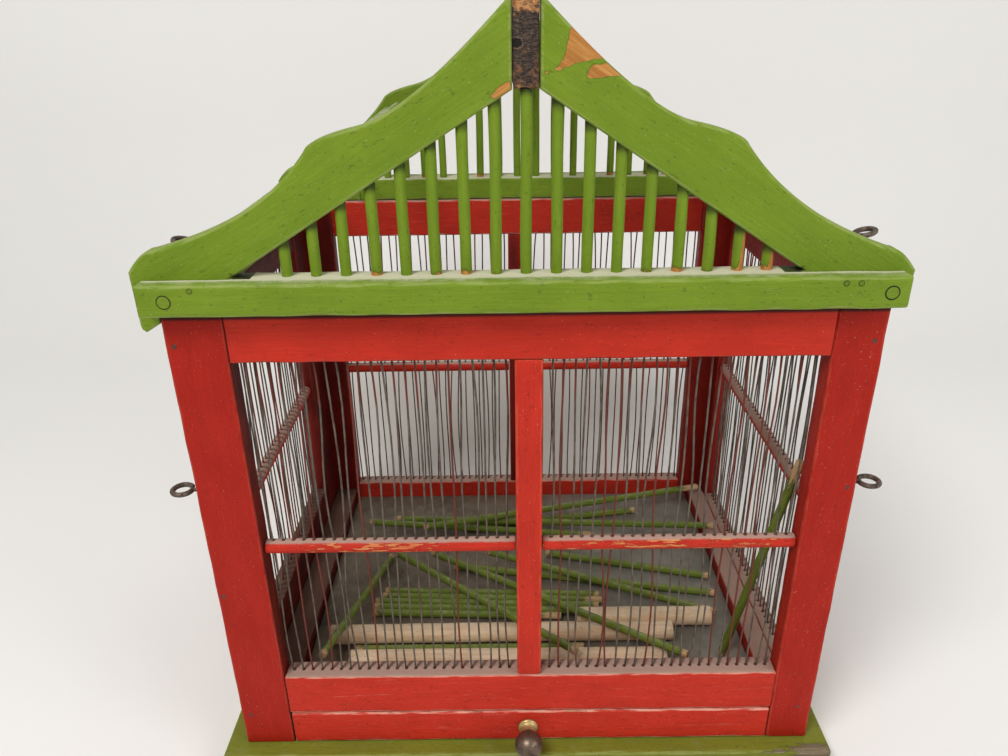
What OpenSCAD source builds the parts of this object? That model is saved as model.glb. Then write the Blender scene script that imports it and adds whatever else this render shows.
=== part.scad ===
// Canary breeding cage: a framed and wired body on a base board, a shallow
// slide-out tray, and a lift-off roof with two swept gables.
// Millimetres. +Z is up, the front faces -Y, and the origin is under the
// middle of the whole cage, on the surface that it stands on.

/* [Base board] */
// Thickness of the base board
base_t = 16; // [10:0.5:25]
// How far the base board stands out past each side of the body
base_lip_side = 15; // [8:0.5:30]
// How far the base board stands out past the front and the back of the body
base_lip_end = 13; // [8:0.5:30]

/* [Body] */
// Width of the body
body_w = 420; // [400:5:480]
// Depth of the body, front face to back face
body_d = 312; // [300:4:380]
// Height of the body above the base board
body_h = 344; // [300:4:420]
// Thickness of the front frame
front_t = 16; // [12:0.5:20]
// Thickness of the back frame
back_t = 14; // [11:0.5:20]
// Thickness of the side frames
side_t = 14; // [11:0.5:20]
// Width of the front frame's left stile
stile_left_w = 36; // [26:1:44]
// Width of the front frame's right stile
stile_right_w = 30; // [26:1:44]
// Width of the back frame's stiles
stile_back_w = 38; // [26:1:48]
// Width of the left side frame's stiles
stile_side_w = 46; // [26:1:56]
// Width of the right side frame's front stile
stile_right_front_w = 34; // [34:1:56]
// Width of the right side frame's back stile
stile_right_back_w = 17; // [12:1:56]
// Height of the top rails
top_rail_h = 33; // [24:1:44]
// Height of the front bottom rail, which stands over the tray slot
bottom_rail_h = 35; // [24:1:48]
// Height of the back bottom rail
back_rail_h = 42; // [36:1:60]
// Width of the upright between the two bays, front and back
mullion_w = 17; // [12:0.5:24]
// How far the front upright stands right of the middle
mullion_off = 2.4; // [-6:0.2:6]

/* [Wires and crossbars] */
// Diameter of a wire
wire_d = 1.3; // [1.1:0.1:2.4]
// Spacing of the wires
wire_pitch = 6.8; // [5:0.1:12]
// How deep a wire's end sits in its rail
wire_seat = 8; // [4:0.5:12]
// Diameter of the round crossbars that the wires are threaded through
bar_d = 10; // [8:0.5:11]
// Height of the crossbars' centre line above the base board
bar_z = 174.5; // [120:0.5:220]
// Height of the right side's crossbar above the base board
bar_right_z = 179; // [120:0.5:220]

/* [Tray drawer] */
// Height of the slot that the tray slides in
slot_h = 30; // [29:0.5:40]
// Thickness of the drawer's front strip
drawer_front_t = 12; // [8:0.5:16]
// Thickness of the tray board
tray_board_t = 9; // [6:0.5:12]
// Width of the two battens that the tray board slides on
batten_w = 28; // [16:1:40]
// Height of the battens
batten_h = 14; // [8:0.5:14]
// Thickness of the sheet metal on the tray board
sheet_t = 0.8; // [0.5:0.1:1.2]
// Height of the guide strips beside the tray
guide_h = 35; // [30:0.5:44]
// Diameter of the knob's ball
knob_d = 20; // [14:0.5:24]
// How far the knob stands out from the drawer's front
knob_reach = 27; // [22:0.5:34]

/* [Roof] */
// Height of the gable rails
rail_h = 19; // [15:0.5:24]
// Depth of the gable rails, front to back
rail_d = 25; // [22:0.5:30]
// How far the gable rails stand out past the body's face
rail_proud = 12.5; // [8:0.5:14]
// Length of the gable rails past the left side of the body
rail_past_left = 6; // [2:0.5:9]
// Length of the gable rails past the right side of the body
rail_past_right = 2.5; // [1:0.5:9]
// Thickness of the gable boards
board_t = 12; // [10:0.5:15]
// How far the tips of the tailed boards stand out past the body's sides
tip_out_tailed = 13.4; // [8:0.1:15]
// Height of the tips of the tailed boards above the body's top
tip_z_tailed = 23; // [18:0.5:30]
// How far the tips of the plain boards stand out past the body's sides
tip_out_plain = 8.1; // [5:0.1:15]
// Height of the tips of the plain boards above the body's top
tip_z_plain = 18.4; // [16:0.1:30]
// How far the ridge stands right of the body's middle
ridge_off = 1; // [-3:0.5:3]
// How far the knee in the roof line lies in from the body's sides
knee_in = 97; // [80:1:116]
// Height of the knee above the body's top
knee_z = 92.5; // [80:0.5:105]
// Height of the gable boards' tops above the body's top
apex_z = 161; // [145:1:185]
// Height of the inner corner under the ridge above the body's top
inner_top_z = 116.5; // [105:0.5:125]
// How far in from the body's side the gable opening starts beside a tailed board
opening_in_tailed = 44; // [36:1:60]
// How far in from the body's side the gable opening starts beside a plain board
opening_in_plain = 55; // [36:1:60]
// How far the gable boards' feet reach past the opening's corners, behind the rail
foot_reach = 11; // [4:0.5:14]
// How far the tailed boards hang down past the body's top
tail_drop = 13; // [4:0.5:24]
// Width of the ridge beam
ridge_w = 14; // [10:0.5:20]
// How far the ridge beam stands above the gable boards
ridge_up = 3; // [0:0.5:10]
// Height of the eave rails
eave_h = 27; // [18:0.5:28]
// Width of the eave rails
eave_w = 18; // [12:0.5:22]
// How far the eave rails lie inside the body's sides
eave_in = 9; // [6:0.5:14]
// Diameter of the gable spindles and the roof rods
rod_d = 6.5; // [5:0.1:7.5]
// Spacing of the gable spindles
spindle_pitch = 16.95; // [12:0.05:24]
// Sideways spacing of the roof rods
rod_pitch = 9; // [8:0.5:16]
// How far the roof rods lie under the roof line
rod_inset = 13; // [9:0.5:16]
// How deep spindles and rods sit in their holes
rod_seat = 7; // [4:0.5:9]
// Diameter of the pegs that pin the gable boards to their rails
peg_d = 8; // [5:0.5:10]
// Distance of the pegs from the body's sides
peg_in = 9; // [7:0.5:12]

/* [Screw eyes] */
// Outer diameter of a ring
eye_d = 16; // [12:0.5:20]
// Thickness of the iron wire that a ring is bent from
eye_wire = 3.4; // [2.4:0.1:4]
// Height of the body's screw eyes above the base board
eye_z = 219; // [190:1:280]
// Distance of the roof's screw eyes behind the body's front face
roof_eye_y = 70; // [40:1:120]

/* [Loose rods and perches] */
// Diameter of the loose perches
perch_d = 16; // [12:0.5:18]

/* [Clearances] */
// Gap all round a wire, spindle, rod or peg in its hole
hole_gap = 0.15; // [0.05:0.05:0.3]
// Gap under and between the things that lie loose on the tray
rest_gap = 0.3; // [0.1:0.1:0.6]
// Gap at the blind end of a hole, and at a crossbar's ends
end_gap = 0.3; // [0.1:0.1:0.8]
// Gap between the tray and what it slides along
slide_gap = 0.6; // [0.3:0.1:1]
// Gap between the body and the roof that rests on it
roof_gap = 0.3; // [0.2:0.1:0.8]
// Gap between boards that are fitted into each other
fit_gap = 0.2; // [0.1:0.1:0.5]

/* [Hidden] */
$fn = 48;

RED = "firebrick";
GREEN = "olivedrab";

// Places worked out from the sizes above
half_w = body_w / 2;
half_d = body_d / 2;
shift_y = (knob_reach - base_lip_end) / 2;      // puts the origin under the middle of the whole cage
body_z = base_t;
top_z = body_z + body_h;
roof_z = top_z + roof_gap;
sill_z = body_z + slot_h + bottom_rail_h;       // top of the front bottom rail and the left side's board
guide_z = body_z + guide_h;                     // top of the guides and the right side's board
head_z = top_z - top_rail_h;                    // underside of the top rails
slot_left = -half_w + stile_left_w;             // the tray slot runs between the front stiles
slot_right = half_w - stile_right_w;
front_mid = -half_d + front_t / 2;              // the wires stand in the middle of each frame
back_mid = half_d - back_t / 2;
side_mid = half_w - side_t / 2;
side_front = -half_d + front_t;                 // the side frames fit between front and back frames
side_back = half_d - back_t;
tray_low = body_z + slide_gap;
board_low = tray_low + batten_h;
sheet_low = board_low + tray_board_t;
tray_z = sheet_low + sheet_t;
hole_r = wire_d / 2 + hole_gap;
rod_r = rod_d / 2;
round_end = 1.2;                                // easing at the ends of crossbars
rod_ease = 0.6;                                 // easing at the ends of spindles, rods and perches
body_eye_neck = 4;                              // length of a shank between the wood and its ring
roof_eye_neck = 9.5;
shank_d = eye_wire - 0.6;
shank_in = 10;                                  // how deep a screw eye is driven in

// Positions at a pitch, centred between two places
function row_at(a, b, pitch) =
    let (n = floor((b - a) / pitch), first = (a + b) / 2 - (n - 1) * pitch / 2)
    [for (i = [0 : n - 1]) first + i * pitch];

mullion_l = mullion_off - mullion_w / 2;
mullion_r = mullion_off + mullion_w / 2;
back_inner = half_w - stile_back_w;
front_xs_left = row_at(slot_left, mullion_l, wire_pitch);
front_xs_right = row_at(mullion_r, slot_right, wire_pitch);
back_xs_left = row_at(-back_inner, -mullion_w / 2, wire_pitch);
back_xs_right = row_at(mullion_w / 2, back_inner, wire_pitch);
function bay_front(side) = side_front + (side < 0 ? stile_side_w : stile_right_front_w);
function bay_back(side) = side_back - (side < 0 ? stile_side_w : stile_right_back_w);
function side_ys(side) = row_at(bay_front(side), bay_back(side), wire_pitch);
function side_sill(side) = side < 0 ? sill_z : guide_z;

// The gable boards have two outlines. The tailed ones, at the front left and
// the back right, hang past the body's top; the plain ones don't.
function tailed(face, side) = face * side > 0;

// The roof line of one slope, from the ridge to the eave tip: x outwards from
// the middle, z up from the body's top. Each sweep is a quadratic curve.
function sweep(a, b, c, n) =
    [for (i = [0 : n]) let (t = i / n) (1 - t) * (1 - t) * a + 2 * t * (1 - t) * b + t * t * c];
board_x = ridge_w / 2 + fit_gap;
knee = [half_w - knee_in, knee_z];
knee_start = knee + [-23, 6.5];
knee_end = knee + [3, -3];
function tip(tail) = [half_w + (tail ? tip_out_tailed : tip_out_plain), tail ? tip_z_tailed : tip_z_plain];
function roof_line(tail) =
    let (shoulder = tip(tail) + [-14.5, 12])
    concat(sweep([board_x, apex_z], knee_start + [-28, 6], knee_start, 14),
           sweep(knee_start, knee + [-2, 2], knee_end, 5),
           sweep(knee_end, knee_end + [27, -38], shoulder, 14),
           sweep(shoulder, tip(tail) + [-9, 12.2], tip(tail), 5));

// The straight edge of the opening, from its corner at the rail up to the ridge
function corner_x(tail) = half_w - (tail ? opening_in_tailed : opening_in_plain);
function inner_slope(tail) = (inner_top_z - rail_h) / (corner_x(tail) - board_x);
function inner_z(x, tail) = rail_h + (corner_x(tail) - abs(x)) * inner_slope(tail);
function notch_x(tail) = corner_x(tail) - foot_reach;  // the gable rail's back half ends here
ridge_low = inner_top_z;
hole_wall = 1.2;                                // wood left between a spindle's hole and the board's face
spindle_y = -half_d + hole_wall + hole_gap + rod_r;
spindle_n = floor((notch_x(false) - hole_wall - 2 * rod_r) / spindle_pitch);
rod_x0 = 24;                                    // first roof rod from the middle
rod_n = floor((half_w - eave_in - eave_w - rod_r - 2 - rod_x0) / rod_pitch);
rods_gone_left = [2, 3, 6, 7, 8, 12, 13, 15, 16];
rods_gone_right = [1, 4, 5, 9, 10, 11, 14, 15];

// ---------- shared shapes ----------

module place() {
    translate([0, shift_y, 0]) children();
}

// The roof's pieces are drawn about the ridge
module place_roof() {
    translate([ridge_off, shift_y, 0]) children();
}

// A dowel along +Z with its ends eased
module dowel(d, length, ease = round_end) {
    rotate_extrude()
        polygon([[0, 0], [d / 2 - ease, 0], [d / 2, ease], [d / 2, length - ease],
                 [d / 2 - ease, length], [0, length]]);
}

module stick(low, high) {
    translate(low) cube(high - low);
}

// Upright wires at a list of [x, y] places
module wires(places, low, high) {
    color("dimgray")
        for (p = places)
            translate([p.x, p.y, low]) cylinder(d = wire_d, h = high - low);
}

// Upright holes for wires at a list of [x, y] places
module wire_holes(places, low, high) {
    for (p = places)
        translate([p.x, p.y, low]) cylinder(r = hole_r, h = high - low);
}

// A ring on a shank: the shank runs along -X into its seat, whose face is x = 0
module screw_eye(neck, tilt) {
    ring_r = (eye_d - eye_wire) / 2;
    color("dimgray")
        rotate([0, -tilt, 0]) {
            translate([neck + eye_d / 2, 0, 0])
                rotate_extrude() translate([ring_r, 0]) circle(d = eye_wire);
            translate([-shank_in, 0, 0])
                rotate([0, 90, 0]) cylinder(d = shank_d, h = shank_in + neck + eye_wire / 2);
        }
}

// The hole that takes a screw eye's shank
module eye_hole(tilt) {
    rotate([0, -tilt, 0])
        translate([-shank_in - end_gap, 0, 0])
            rotate([0, 90, 0]) cylinder(d = shank_d + 2 * hole_gap, h = 2 * shank_in);
}

function at_y(xs, y) = [for (x = xs) [x, y]];
function at_x(ys, x) = [for (y = ys) [x, y]];

// ---------- base and body ----------

module base_board() {
    color(GREEN)
        stick([-half_w - base_lip_side, -half_d - base_lip_end, 0],
              [half_w + base_lip_side, half_d + base_lip_end, base_t]);
}

module front_stile(side) {
    w = side < 0 ? stile_left_w : stile_right_w;
    color(RED)
        difference() {
            mirror([side < 0 ? 1 : 0, 0, 0])
                stick([half_w - w, -half_d, body_z], [half_w, side_front, top_z]);
            place_body_eye(side) eye_hole(0);
        }
}

module place_body_eye(side) {
    mirror([side < 0 ? 1 : 0, 0, 0])
        translate([half_w, front_mid + 1, body_z + eye_z]) children();
}

module body_screw_eyes() {
    for (side = [-1, 1])
        place_body_eye(side) screw_eye(body_eye_neck, 0);
}

module front_top_rail() {
    color(RED)
        difference() {
            stick([slot_left, -half_d, head_z], [slot_right, side_front, top_z]);
            wire_holes(at_y(concat(front_xs_left, front_xs_right), front_mid),
                       head_z - 1, head_z + wire_seat + end_gap);
        }
}

module front_bottom_rail() {
    color(RED)
        difference() {
            stick([slot_left, -half_d, body_z + slot_h], [slot_right, side_front, sill_z]);
            wire_holes(at_y(concat(front_xs_left, front_xs_right), front_mid),
                       sill_z - wire_seat - end_gap, sill_z + 1);
        }
}

module front_mullion() {
    color(RED) stick([mullion_l, -half_d, sill_z], [mullion_r, side_front, head_z]);
}

// A round crossbar along X, drilled for the wires that pass through it
module bar_along_x(left, right, y, xs) {
    z = body_z + bar_z;
    color(RED)
        difference() {
            translate([left + end_gap, y, z])
                rotate([0, 90, 0]) dowel(bar_d, right - left - 2 * end_gap);
            wire_holes(at_y(xs, y), z - bar_d, z + bar_d);
        }
}

module front_wires(xs) {
    wires(at_y(xs, front_mid), sill_z - wire_seat, head_z + wire_seat);
}

module back_stile(side) {
    color(RED)
        mirror([side < 0 ? 1 : 0, 0, 0])
            stick([back_inner, side_back, body_z], [half_w, half_d, top_z]);
}

module back_top_rail() {
    color(RED)
        difference() {
            stick([-back_inner, side_back, head_z], [back_inner, half_d, top_z]);
            wire_holes(at_y(concat(back_xs_left, back_xs_right), back_mid),
                       head_z - 1, head_z + wire_seat + end_gap);
        }
}

module back_bottom_rail() {
    color(RED)
        difference() {
            stick([-back_inner, side_back, body_z], [back_inner, half_d, body_z + back_rail_h]);
            wire_holes(at_y(concat(back_xs_left, back_xs_right), back_mid),
                       body_z + back_rail_h - wire_seat - end_gap, body_z + back_rail_h + 1);
        }
}

module back_mullion() {
    color(RED)
        stick([-mullion_w / 2, side_back, body_z + back_rail_h], [mullion_w / 2, half_d, head_z]);
}

module back_wires(xs) {
    wires(at_y(xs, back_mid), body_z + back_rail_h - wire_seat, head_z + wire_seat);
}

module on_side(side) {
    mirror([side < 0 ? 1 : 0, 0, 0]) children();
}

// A stile of a side frame, from one distance to another along the side
module side_stile(side, from, to) {
    color(RED) on_side(side) stick([half_w - side_t, from, body_z], [half_w, to, top_z]);
}

module side_top_rail(side) {
    color(RED)
        on_side(side)
            difference() {
                stick([half_w - side_t, bay_front(side), head_z], [half_w, bay_back(side), top_z]);
                wire_holes(at_x(side_ys(side), side_mid), head_z - 1, head_z + wire_seat + end_gap);
            }
}

module side_board(side) {
    top = side_sill(side);
    color(RED)
        on_side(side)
            difference() {
                stick([half_w - side_t, bay_front(side), body_z], [half_w, bay_back(side), top]);
                wire_holes(at_x(side_ys(side), side_mid), top - wire_seat - end_gap, top + 1);
            }
}

module side_bar(side) {
    z = body_z + (side < 0 ? bar_z : bar_right_z);
    color(RED)
        on_side(side)
            difference() {
                translate([side_mid, bay_front(side) + end_gap, z])
                    rotate([-90, 0, 0]) dowel(bar_d, bay_back(side) - bay_front(side) - 2 * end_gap);
                wire_holes(at_x(side_ys(side), side_mid), z - bar_d, z + bar_d);
            }
}

module side_wires(side) {
    on_side(side) wires(at_x(side_ys(side), side_mid), side_sill(side) - wire_seat, head_z + wire_seat);
}

module tray_guide(left, right) {
    color("rosybrown") stick([left, side_front, body_z], [right, side_back, guide_z]);
}

// ---------- tray drawer ----------

tray_left = slot_left + slide_gap;
tray_right = slot_right - slide_gap;
knob_x = 1.5;
knob_z = body_z + slot_h / 2;
stem_d = 5;
stem_len = drawer_front_t - 2;

module drawer_front() {
    color(RED)
        difference() {
            stick([tray_left, -half_d, tray_low],
                  [tray_right, -half_d + drawer_front_t, body_z + slot_h - slide_gap]);
            translate([knob_x, -half_d - 1, knob_z])
                rotate([-90, 0, 0]) cylinder(d = stem_d + 2 * hole_gap, h = 1 + stem_len + end_gap);
        }
}

tray_front = -half_d + drawer_front_t;
tray_back = side_back - slide_gap;

module tray_board() {
    color("tan") stick([tray_left, tray_front, board_low], [tray_right, tray_back, sheet_low]);
}

module tray_batten(left) {
    color("tan") stick([left, tray_front, tray_low], [left + batten_w, tray_back, board_low]);
}

module tray_sheet() {
    color("slategray") stick([tray_left, tray_front, sheet_low], [tray_right, tray_back, tray_z]);
}

// A turned brass knob: flange, waisted neck and ball, on a stem
module drawer_knob() {
    ball_r = knob_d / 2;
    ball_c = knob_reach - ball_r;
    neck_r = ball_r * 0.5;
    meet = acos(neck_r / ball_r);
    flange_r = ball_r * 0.72;
    waist = sweep([flange_r, 2.2], [neck_r * 0.9, 3], [neck_r, ball_c - ball_r * sin(meet)], 8);
    ball = [for (i = [1 : 24]) let (a = -meet + i * (90 + meet) / 24)
            [ball_r * cos(a), ball_c + ball_r * sin(a)]];
    color("darkgoldenrod")
        translate([knob_x, -half_d, knob_z])
            rotate([90, 0, 0]) {
                rotate_extrude()
                    polygon(concat([[0, 0], [flange_r, 0]], waist, [for (p = ball) [max(p.x, 0), p.y]]));
                translate([0, 0, -stem_len]) cylinder(d = stem_d, h = stem_len + 1);
            }
}

// ---------- roof ----------

// Turns the front gable's pieces into the back gable's
module gable(face) {
    mirror([0, face < 0 ? 0 : 1, 0]) children();
}

module board_outline(tail) {
    low_x = half_w + end_gap + abs(ridge_off);
    end = tip(tail);
    foot = notch_x(tail) + fit_gap;
    hang = tail
        ? [[end.x - 0.5, 4 - tail_drop], [end.x - 3, -tail_drop], [low_x, -tail_drop * 0.6], [low_x, 0]]
        : [end + [-0.7, -6], [end.x - 4, 0]];
    polygon(concat(roof_line(tail), hang,
                   [[foot, 0], [foot, rail_h], [corner_x(tail), rail_h], [board_x, inner_top_z]]));
}

module peg_place(side) {
    translate([side * (half_w - peg_in), -half_d - rail_proud, roof_z + rail_h / 2])
        rotate([-90, 0, 0]) children();
}

// The roof rods run straight from a tailed board to a plain one, so they keep
// under the lower of the two roof lines
function rod_at(i) =
    let (x = rod_x0 + i * rod_pitch)
    [x, min(lookup(x, roof_line(true)), lookup(x, roof_line(false))) - rod_inset];

module gable_board(face, side) {
    tail = tailed(face, side);
    color(GREEN)
        gable(face)
            difference() {
                on_side(side)
                    translate([0, -half_d + board_t, roof_z])
                        rotate([90, 0, 0]) linear_extrude(board_t) board_outline(tail);
                peg_place(side) cylinder(d = peg_d + 2 * hole_gap, h = rail_proud + board_t + 1);
                for (i = [1 : spindle_n]) {
                    x = i * spindle_pitch;
                    translate([side * x, spindle_y, roof_z + inner_z(x, tail) - rod_d])
                        cylinder(d = rod_d + 2 * hole_gap, h = rod_d + rod_seat + end_gap);
                }
                for (i = [0 : rod_n - 1])
                    translate([side * rod_at(i).x, -half_d + board_t - rod_seat - end_gap, roof_z + rod_at(i).y])
                        rotate([-90, 0, 0]) cylinder(d = rod_d + 2 * hole_gap, h = rod_seat + end_gap + 1);
            }
}

// The rail is rebated behind its front half, where the gable boards come down
module gable_rail(face) {
    left = -half_w - rail_past_left - ridge_off;
    right = half_w + rail_past_right - ridge_off;
    rear = -half_d - rail_proud + rail_d;
    color(GREEN)
        gable(face)
            difference() {
                stick([left, -half_d - rail_proud, roof_z], [right, rear, roof_z + rail_h]);
                stick([left - 1, -half_d - fit_gap, roof_z - 1],
                      [-notch_x(tailed(face, -1)), rear + 1, roof_z + rail_h + 1]);
                stick([notch_x(tailed(face, 1)), -half_d - fit_gap, roof_z - 1],
                      [right + 1, rear + 1, roof_z + rail_h + 1]);
                for (side = [-1, 1])
                    peg_place(side) translate([0, 0, -1]) cylinder(d = peg_d + 2 * hole_gap, h = rail_proud + 2);
                for (i = [-spindle_n : spindle_n])
                    translate([i * spindle_pitch, spindle_y, roof_z + rail_h - rod_seat - end_gap])
                        cylinder(d = rod_d + 2 * hole_gap, h = rod_seat + end_gap + 1);
            }
}

module gable_spindles(face) {
    low = rail_h - rod_seat;
    color(GREEN)
        gable(face)
            for (i = [-spindle_n : spindle_n]) {
                x = i * spindle_pitch;
                high = (i == 0 ? ridge_low : inner_z(x, tailed(face, i))) + rod_seat - 1;
                translate([x, spindle_y, roof_z + low]) dowel(rod_d, high - low, rod_ease);
            }
}

module gable_pegs(face) {
    color("darkolivegreen")
        gable(face)
            for (side = [-1, 1])
                peg_place(side) cylinder(d = peg_d, h = rail_proud + board_t - end_gap);
}

module ridge_beam() {
    color("saddlebrown")
        difference() {
            stick([-ridge_w / 2, -half_d, roof_z + ridge_low], [ridge_w / 2, half_d, roof_z + apex_z + ridge_up]);
            for (y = [spindle_y, -spindle_y])
                translate([0, y, roof_z + ridge_low - 1])
                    cylinder(d = rod_d + 2 * hole_gap, h = 1 + rod_seat + end_gap);
        }
}

eave_out = half_w - eave_in;
roof_eye_tilt = 15;
roof_eye_low = 9;                               // how far below the eave rail's top the eyes are driven in

module place_roof_eye(side) {
    on_side(side)
        translate([eave_out, -half_d + roof_eye_y, roof_z + eave_h - roof_eye_low]) children();
}

module eave_rail(side) {
    color(GREEN)
        difference() {
            on_side(side)
                stick([eave_out - eave_w, -half_d + board_t, roof_z], [eave_out, half_d - board_t, roof_z + eave_h]);
            place_roof_eye(side) eye_hole(roof_eye_tilt);
        }
}

module roof_screw_eyes() {
    for (side = [-1, 1])
        place_roof_eye(side) screw_eye(roof_eye_neck, roof_eye_tilt);
}

module roof_rods(side, gone) {
    length = body_d - 2 * board_t + 2 * rod_seat;
    color(GREEN)
        on_side(side)
            for (i = [0 : rod_n - 1])
                if (len(search(i, gone)) == 0)
                    translate([rod_at(i).x, -length / 2, roof_z + rod_at(i).y])
                        rotate([-90, 0, 0]) dowel(rod_d, length, rod_ease);
}

// ---------- loose on the tray ----------

// A dowel lying from one place to another, each given as a share of the
// tray's half width, a distance from front to back, and the height of the
// dowel's underside above the tray
module lying(d, a, b) {
    from = [tray_mid + a.x * tray_half, a.y, tray_z + a.z + d / 2];
    to = [tray_mid + b.x * tray_half, b.y, tray_z + b.z + d / 2];
    v = to - from;
    translate(from)
        rotate([0, acos(v.z / norm(v)), atan2(v.y, v.x)]) dowel(d, norm(v), rod_ease);
}

tray_mid = (tray_left + tray_right) / 2;
tray_half = (tray_right - tray_left) / 2;
over_guide = ((slot_right + half_w - side_t) / 2 - tray_mid) / tray_half;
on_tray = rest_gap;
on_rod = rod_d + 2 * rest_gap;                  // underside of a rod that lies on others
on_perch = perch_d + 2 * rest_gap;
perch_first = side_front + 33.5;
perch_second = perch_first + 5.5 + perch_d + on_rod;
between = perch_second - perch_d / 2 - on_rod / 2;  // one rod lies between the first two perches
perch_row = [perch_first, perch_second, perch_second + perch_d + 1.3];
rod_row_0 = perch_row[2] + perch_d / 2 + 0.8;   // behind the perches the rods lie side by side
rod_row_ends = [[-0.75, 0.17], [-0.75, 0.51], [-0.75, 0.36], [-0.72, 0.38], [-0.71, 0.37]];
row_fall = 7.5;                                 // and slant towards the front on the right
function rod_row(i) = rod_row_0 + i * (rod_d + 2 * rest_gap);
last_row = rod_row(len(rod_row_ends) - 1);

module loose_rods() {
    color(GREEN) {
        for (i = [0 : len(rod_row_ends) - 1]) {
            e = rod_row_ends[i];
            lying(rod_d, [e[0], rod_row(i) - e[0] * row_fall, on_tray], [e[1], rod_row(i) - e[1] * row_fall, on_tray]);
        }
        lying(rod_d, [-0.9, side_front + 20, on_perch + 6.4], [-0.715, side_front + 172, on_tray]);
        lying(rod_d, [-0.79, between, on_tray], [0.26, between, on_tray]);
        lying(rod_d, [-0.68, last_row + 51, on_rod], [0.21, side_front + 21, on_perch + on_rod]);
        lying(rod_d, [-0.49, last_row + 51, on_rod], [0.69, side_front + 18, on_perch + 5]);
        lying(rod_d, [-0.2, last_row + 43, 2 * on_rod], [0.92, last_row - 27, on_tray]);
        lying(rod_d, [-0.37, last_row + 39.5, on_tray], [0.95, last_row - 2.5, on_tray]);
        lying(rod_d, [0.12, last_row + 57.5, on_tray], [0.95, last_row + 21, on_tray]);
        lying(rod_d, [-0.87, side_back - 63, on_rod], [0.4, side_back - 80, on_tray]);
        lying(rod_d, [-0.33, side_back - 64, on_tray], [0.66, side_back - 37.5, on_tray]);
        lying(rod_d, [-0.72, side_back - 58, on_rod], [over_guide, side_back - 86, 2 * on_rod]);
        lying(rod_d, [-0.55, side_back - 88, 2.5 * on_rod], [over_guide, side_back - 16, 2 * on_rod]);
    }
}

module loose_perches() {
    color("burlywood") {
        lying(perch_d, [-0.92, perch_row[1], on_tray], [0.68, perch_row[1] + 1, on_tray]);
        lying(perch_d, [0.24, perch_row[2] + 1, on_tray], [0.88, perch_row[2] + 0.5, on_tray]);
        lying(perch_d, [-0.8, perch_row[0], on_tray], [0.62, perch_row[0], on_tray]);
    }
}

lean_gap = 0.8;                                 // keeps the leaning rod's rims off the tray and the stile

// One more rod stands in the front right corner, leaning on the side frame
module leaning_rod() {
    foot = [slot_right - 21, side_front + 43.5, tray_z + lean_gap];
    head = [half_w - side_t - rod_r - lean_gap, side_front + 30, foot.z + 187];
    v = head - foot;
    color(GREEN)
        translate(foot)
            rotate([0, acos(v.z / norm(v)), atan2(v.y, v.x)]) dowel(rod_d, norm(v), rod_ease);
}

place() base_board();
place() front_stile(-1);  // front_stile_left
place() front_stile(1);  // front_stile_right
place() front_top_rail();
place() front_bottom_rail();
place() front_mullion();
place() bar_along_x(slot_left, mullion_l, front_mid, front_xs_left);  // front_bar_left
place() bar_along_x(mullion_r, slot_right, front_mid, front_xs_right);  // front_bar_right
place() back_stile(-1);  // back_stile_left
place() back_stile(1);  // back_stile_right
place() back_top_rail();
place() back_bottom_rail();
place() back_mullion();
place() bar_along_x(-back_inner, -mullion_w / 2, back_mid, back_xs_left);  // back_bar_left
place() bar_along_x(mullion_w / 2, back_inner, back_mid, back_xs_right);  // back_bar_right
place() side_stile(-1, side_front, bay_front(-1));  // left_stile_front
place() side_stile(-1, bay_back(-1), side_back);  // left_stile_back
place() side_top_rail(-1);  // left_top_rail
place() side_board(-1);  // left_board
place() side_bar(-1);  // left_bar
place() side_stile(1, side_front, bay_front(1));  // right_stile_front
place() side_stile(1, bay_back(1), side_back);  // right_stile_back
place() side_top_rail(1);  // right_top_rail
place() side_board(1);  // right_board
place() side_bar(1);  // right_bar
place() front_wires(front_xs_left);  // front_wires_left
place() front_wires(front_xs_right);  // front_wires_right
place() back_wires(back_xs_left);  // back_wires_left
place() back_wires(back_xs_right);  // back_wires_right
place() side_wires(-1);  // left_wires
place() side_wires(1);  // right_wires
place() tray_guide(-half_w + side_t, slot_left);  // tray_guide_left
place() tray_guide(slot_right, half_w - side_t);  // tray_guide_right
place() body_screw_eyes();
place() drawer_front();
place() tray_board();
place() tray_batten(tray_left);  // tray_batten_left
place() tray_batten(tray_right - batten_w);  // tray_batten_right
place() tray_sheet();
place() drawer_knob();
place_roof() gable_rail(-1);  // front_gable_rail
place_roof() gable_board(-1, -1);  // front_board_left
place_roof() gable_board(-1, 1);  // front_board_right
place_roof() gable_spindles(-1);  // front_spindles
place_roof() gable_pegs(-1);  // front_pegs
place_roof() gable_rail(1);  // back_gable_rail
place_roof() gable_board(1, -1);  // back_board_left
place_roof() gable_board(1, 1);  // back_board_right
place_roof() gable_spindles(1);  // back_spindles
place_roof() gable_pegs(1);  // back_pegs
place_roof() ridge_beam();
place_roof() eave_rail(-1);  // eave_rail_left
place_roof() eave_rail(1);  // eave_rail_right
place_roof() roof_rods(-1, rods_gone_left);  // roof_rods_left
place_roof() roof_rods(1, rods_gone_right);  // roof_rods_right
place_roof() roof_screw_eyes();
place() loose_rods();
place() loose_perches();
place() leaning_rod();
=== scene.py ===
import bpy
import math
import numpy as np
from mathutils import Euler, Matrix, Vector
from mathutils.geometry import delaunay_2d_cdt


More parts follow.
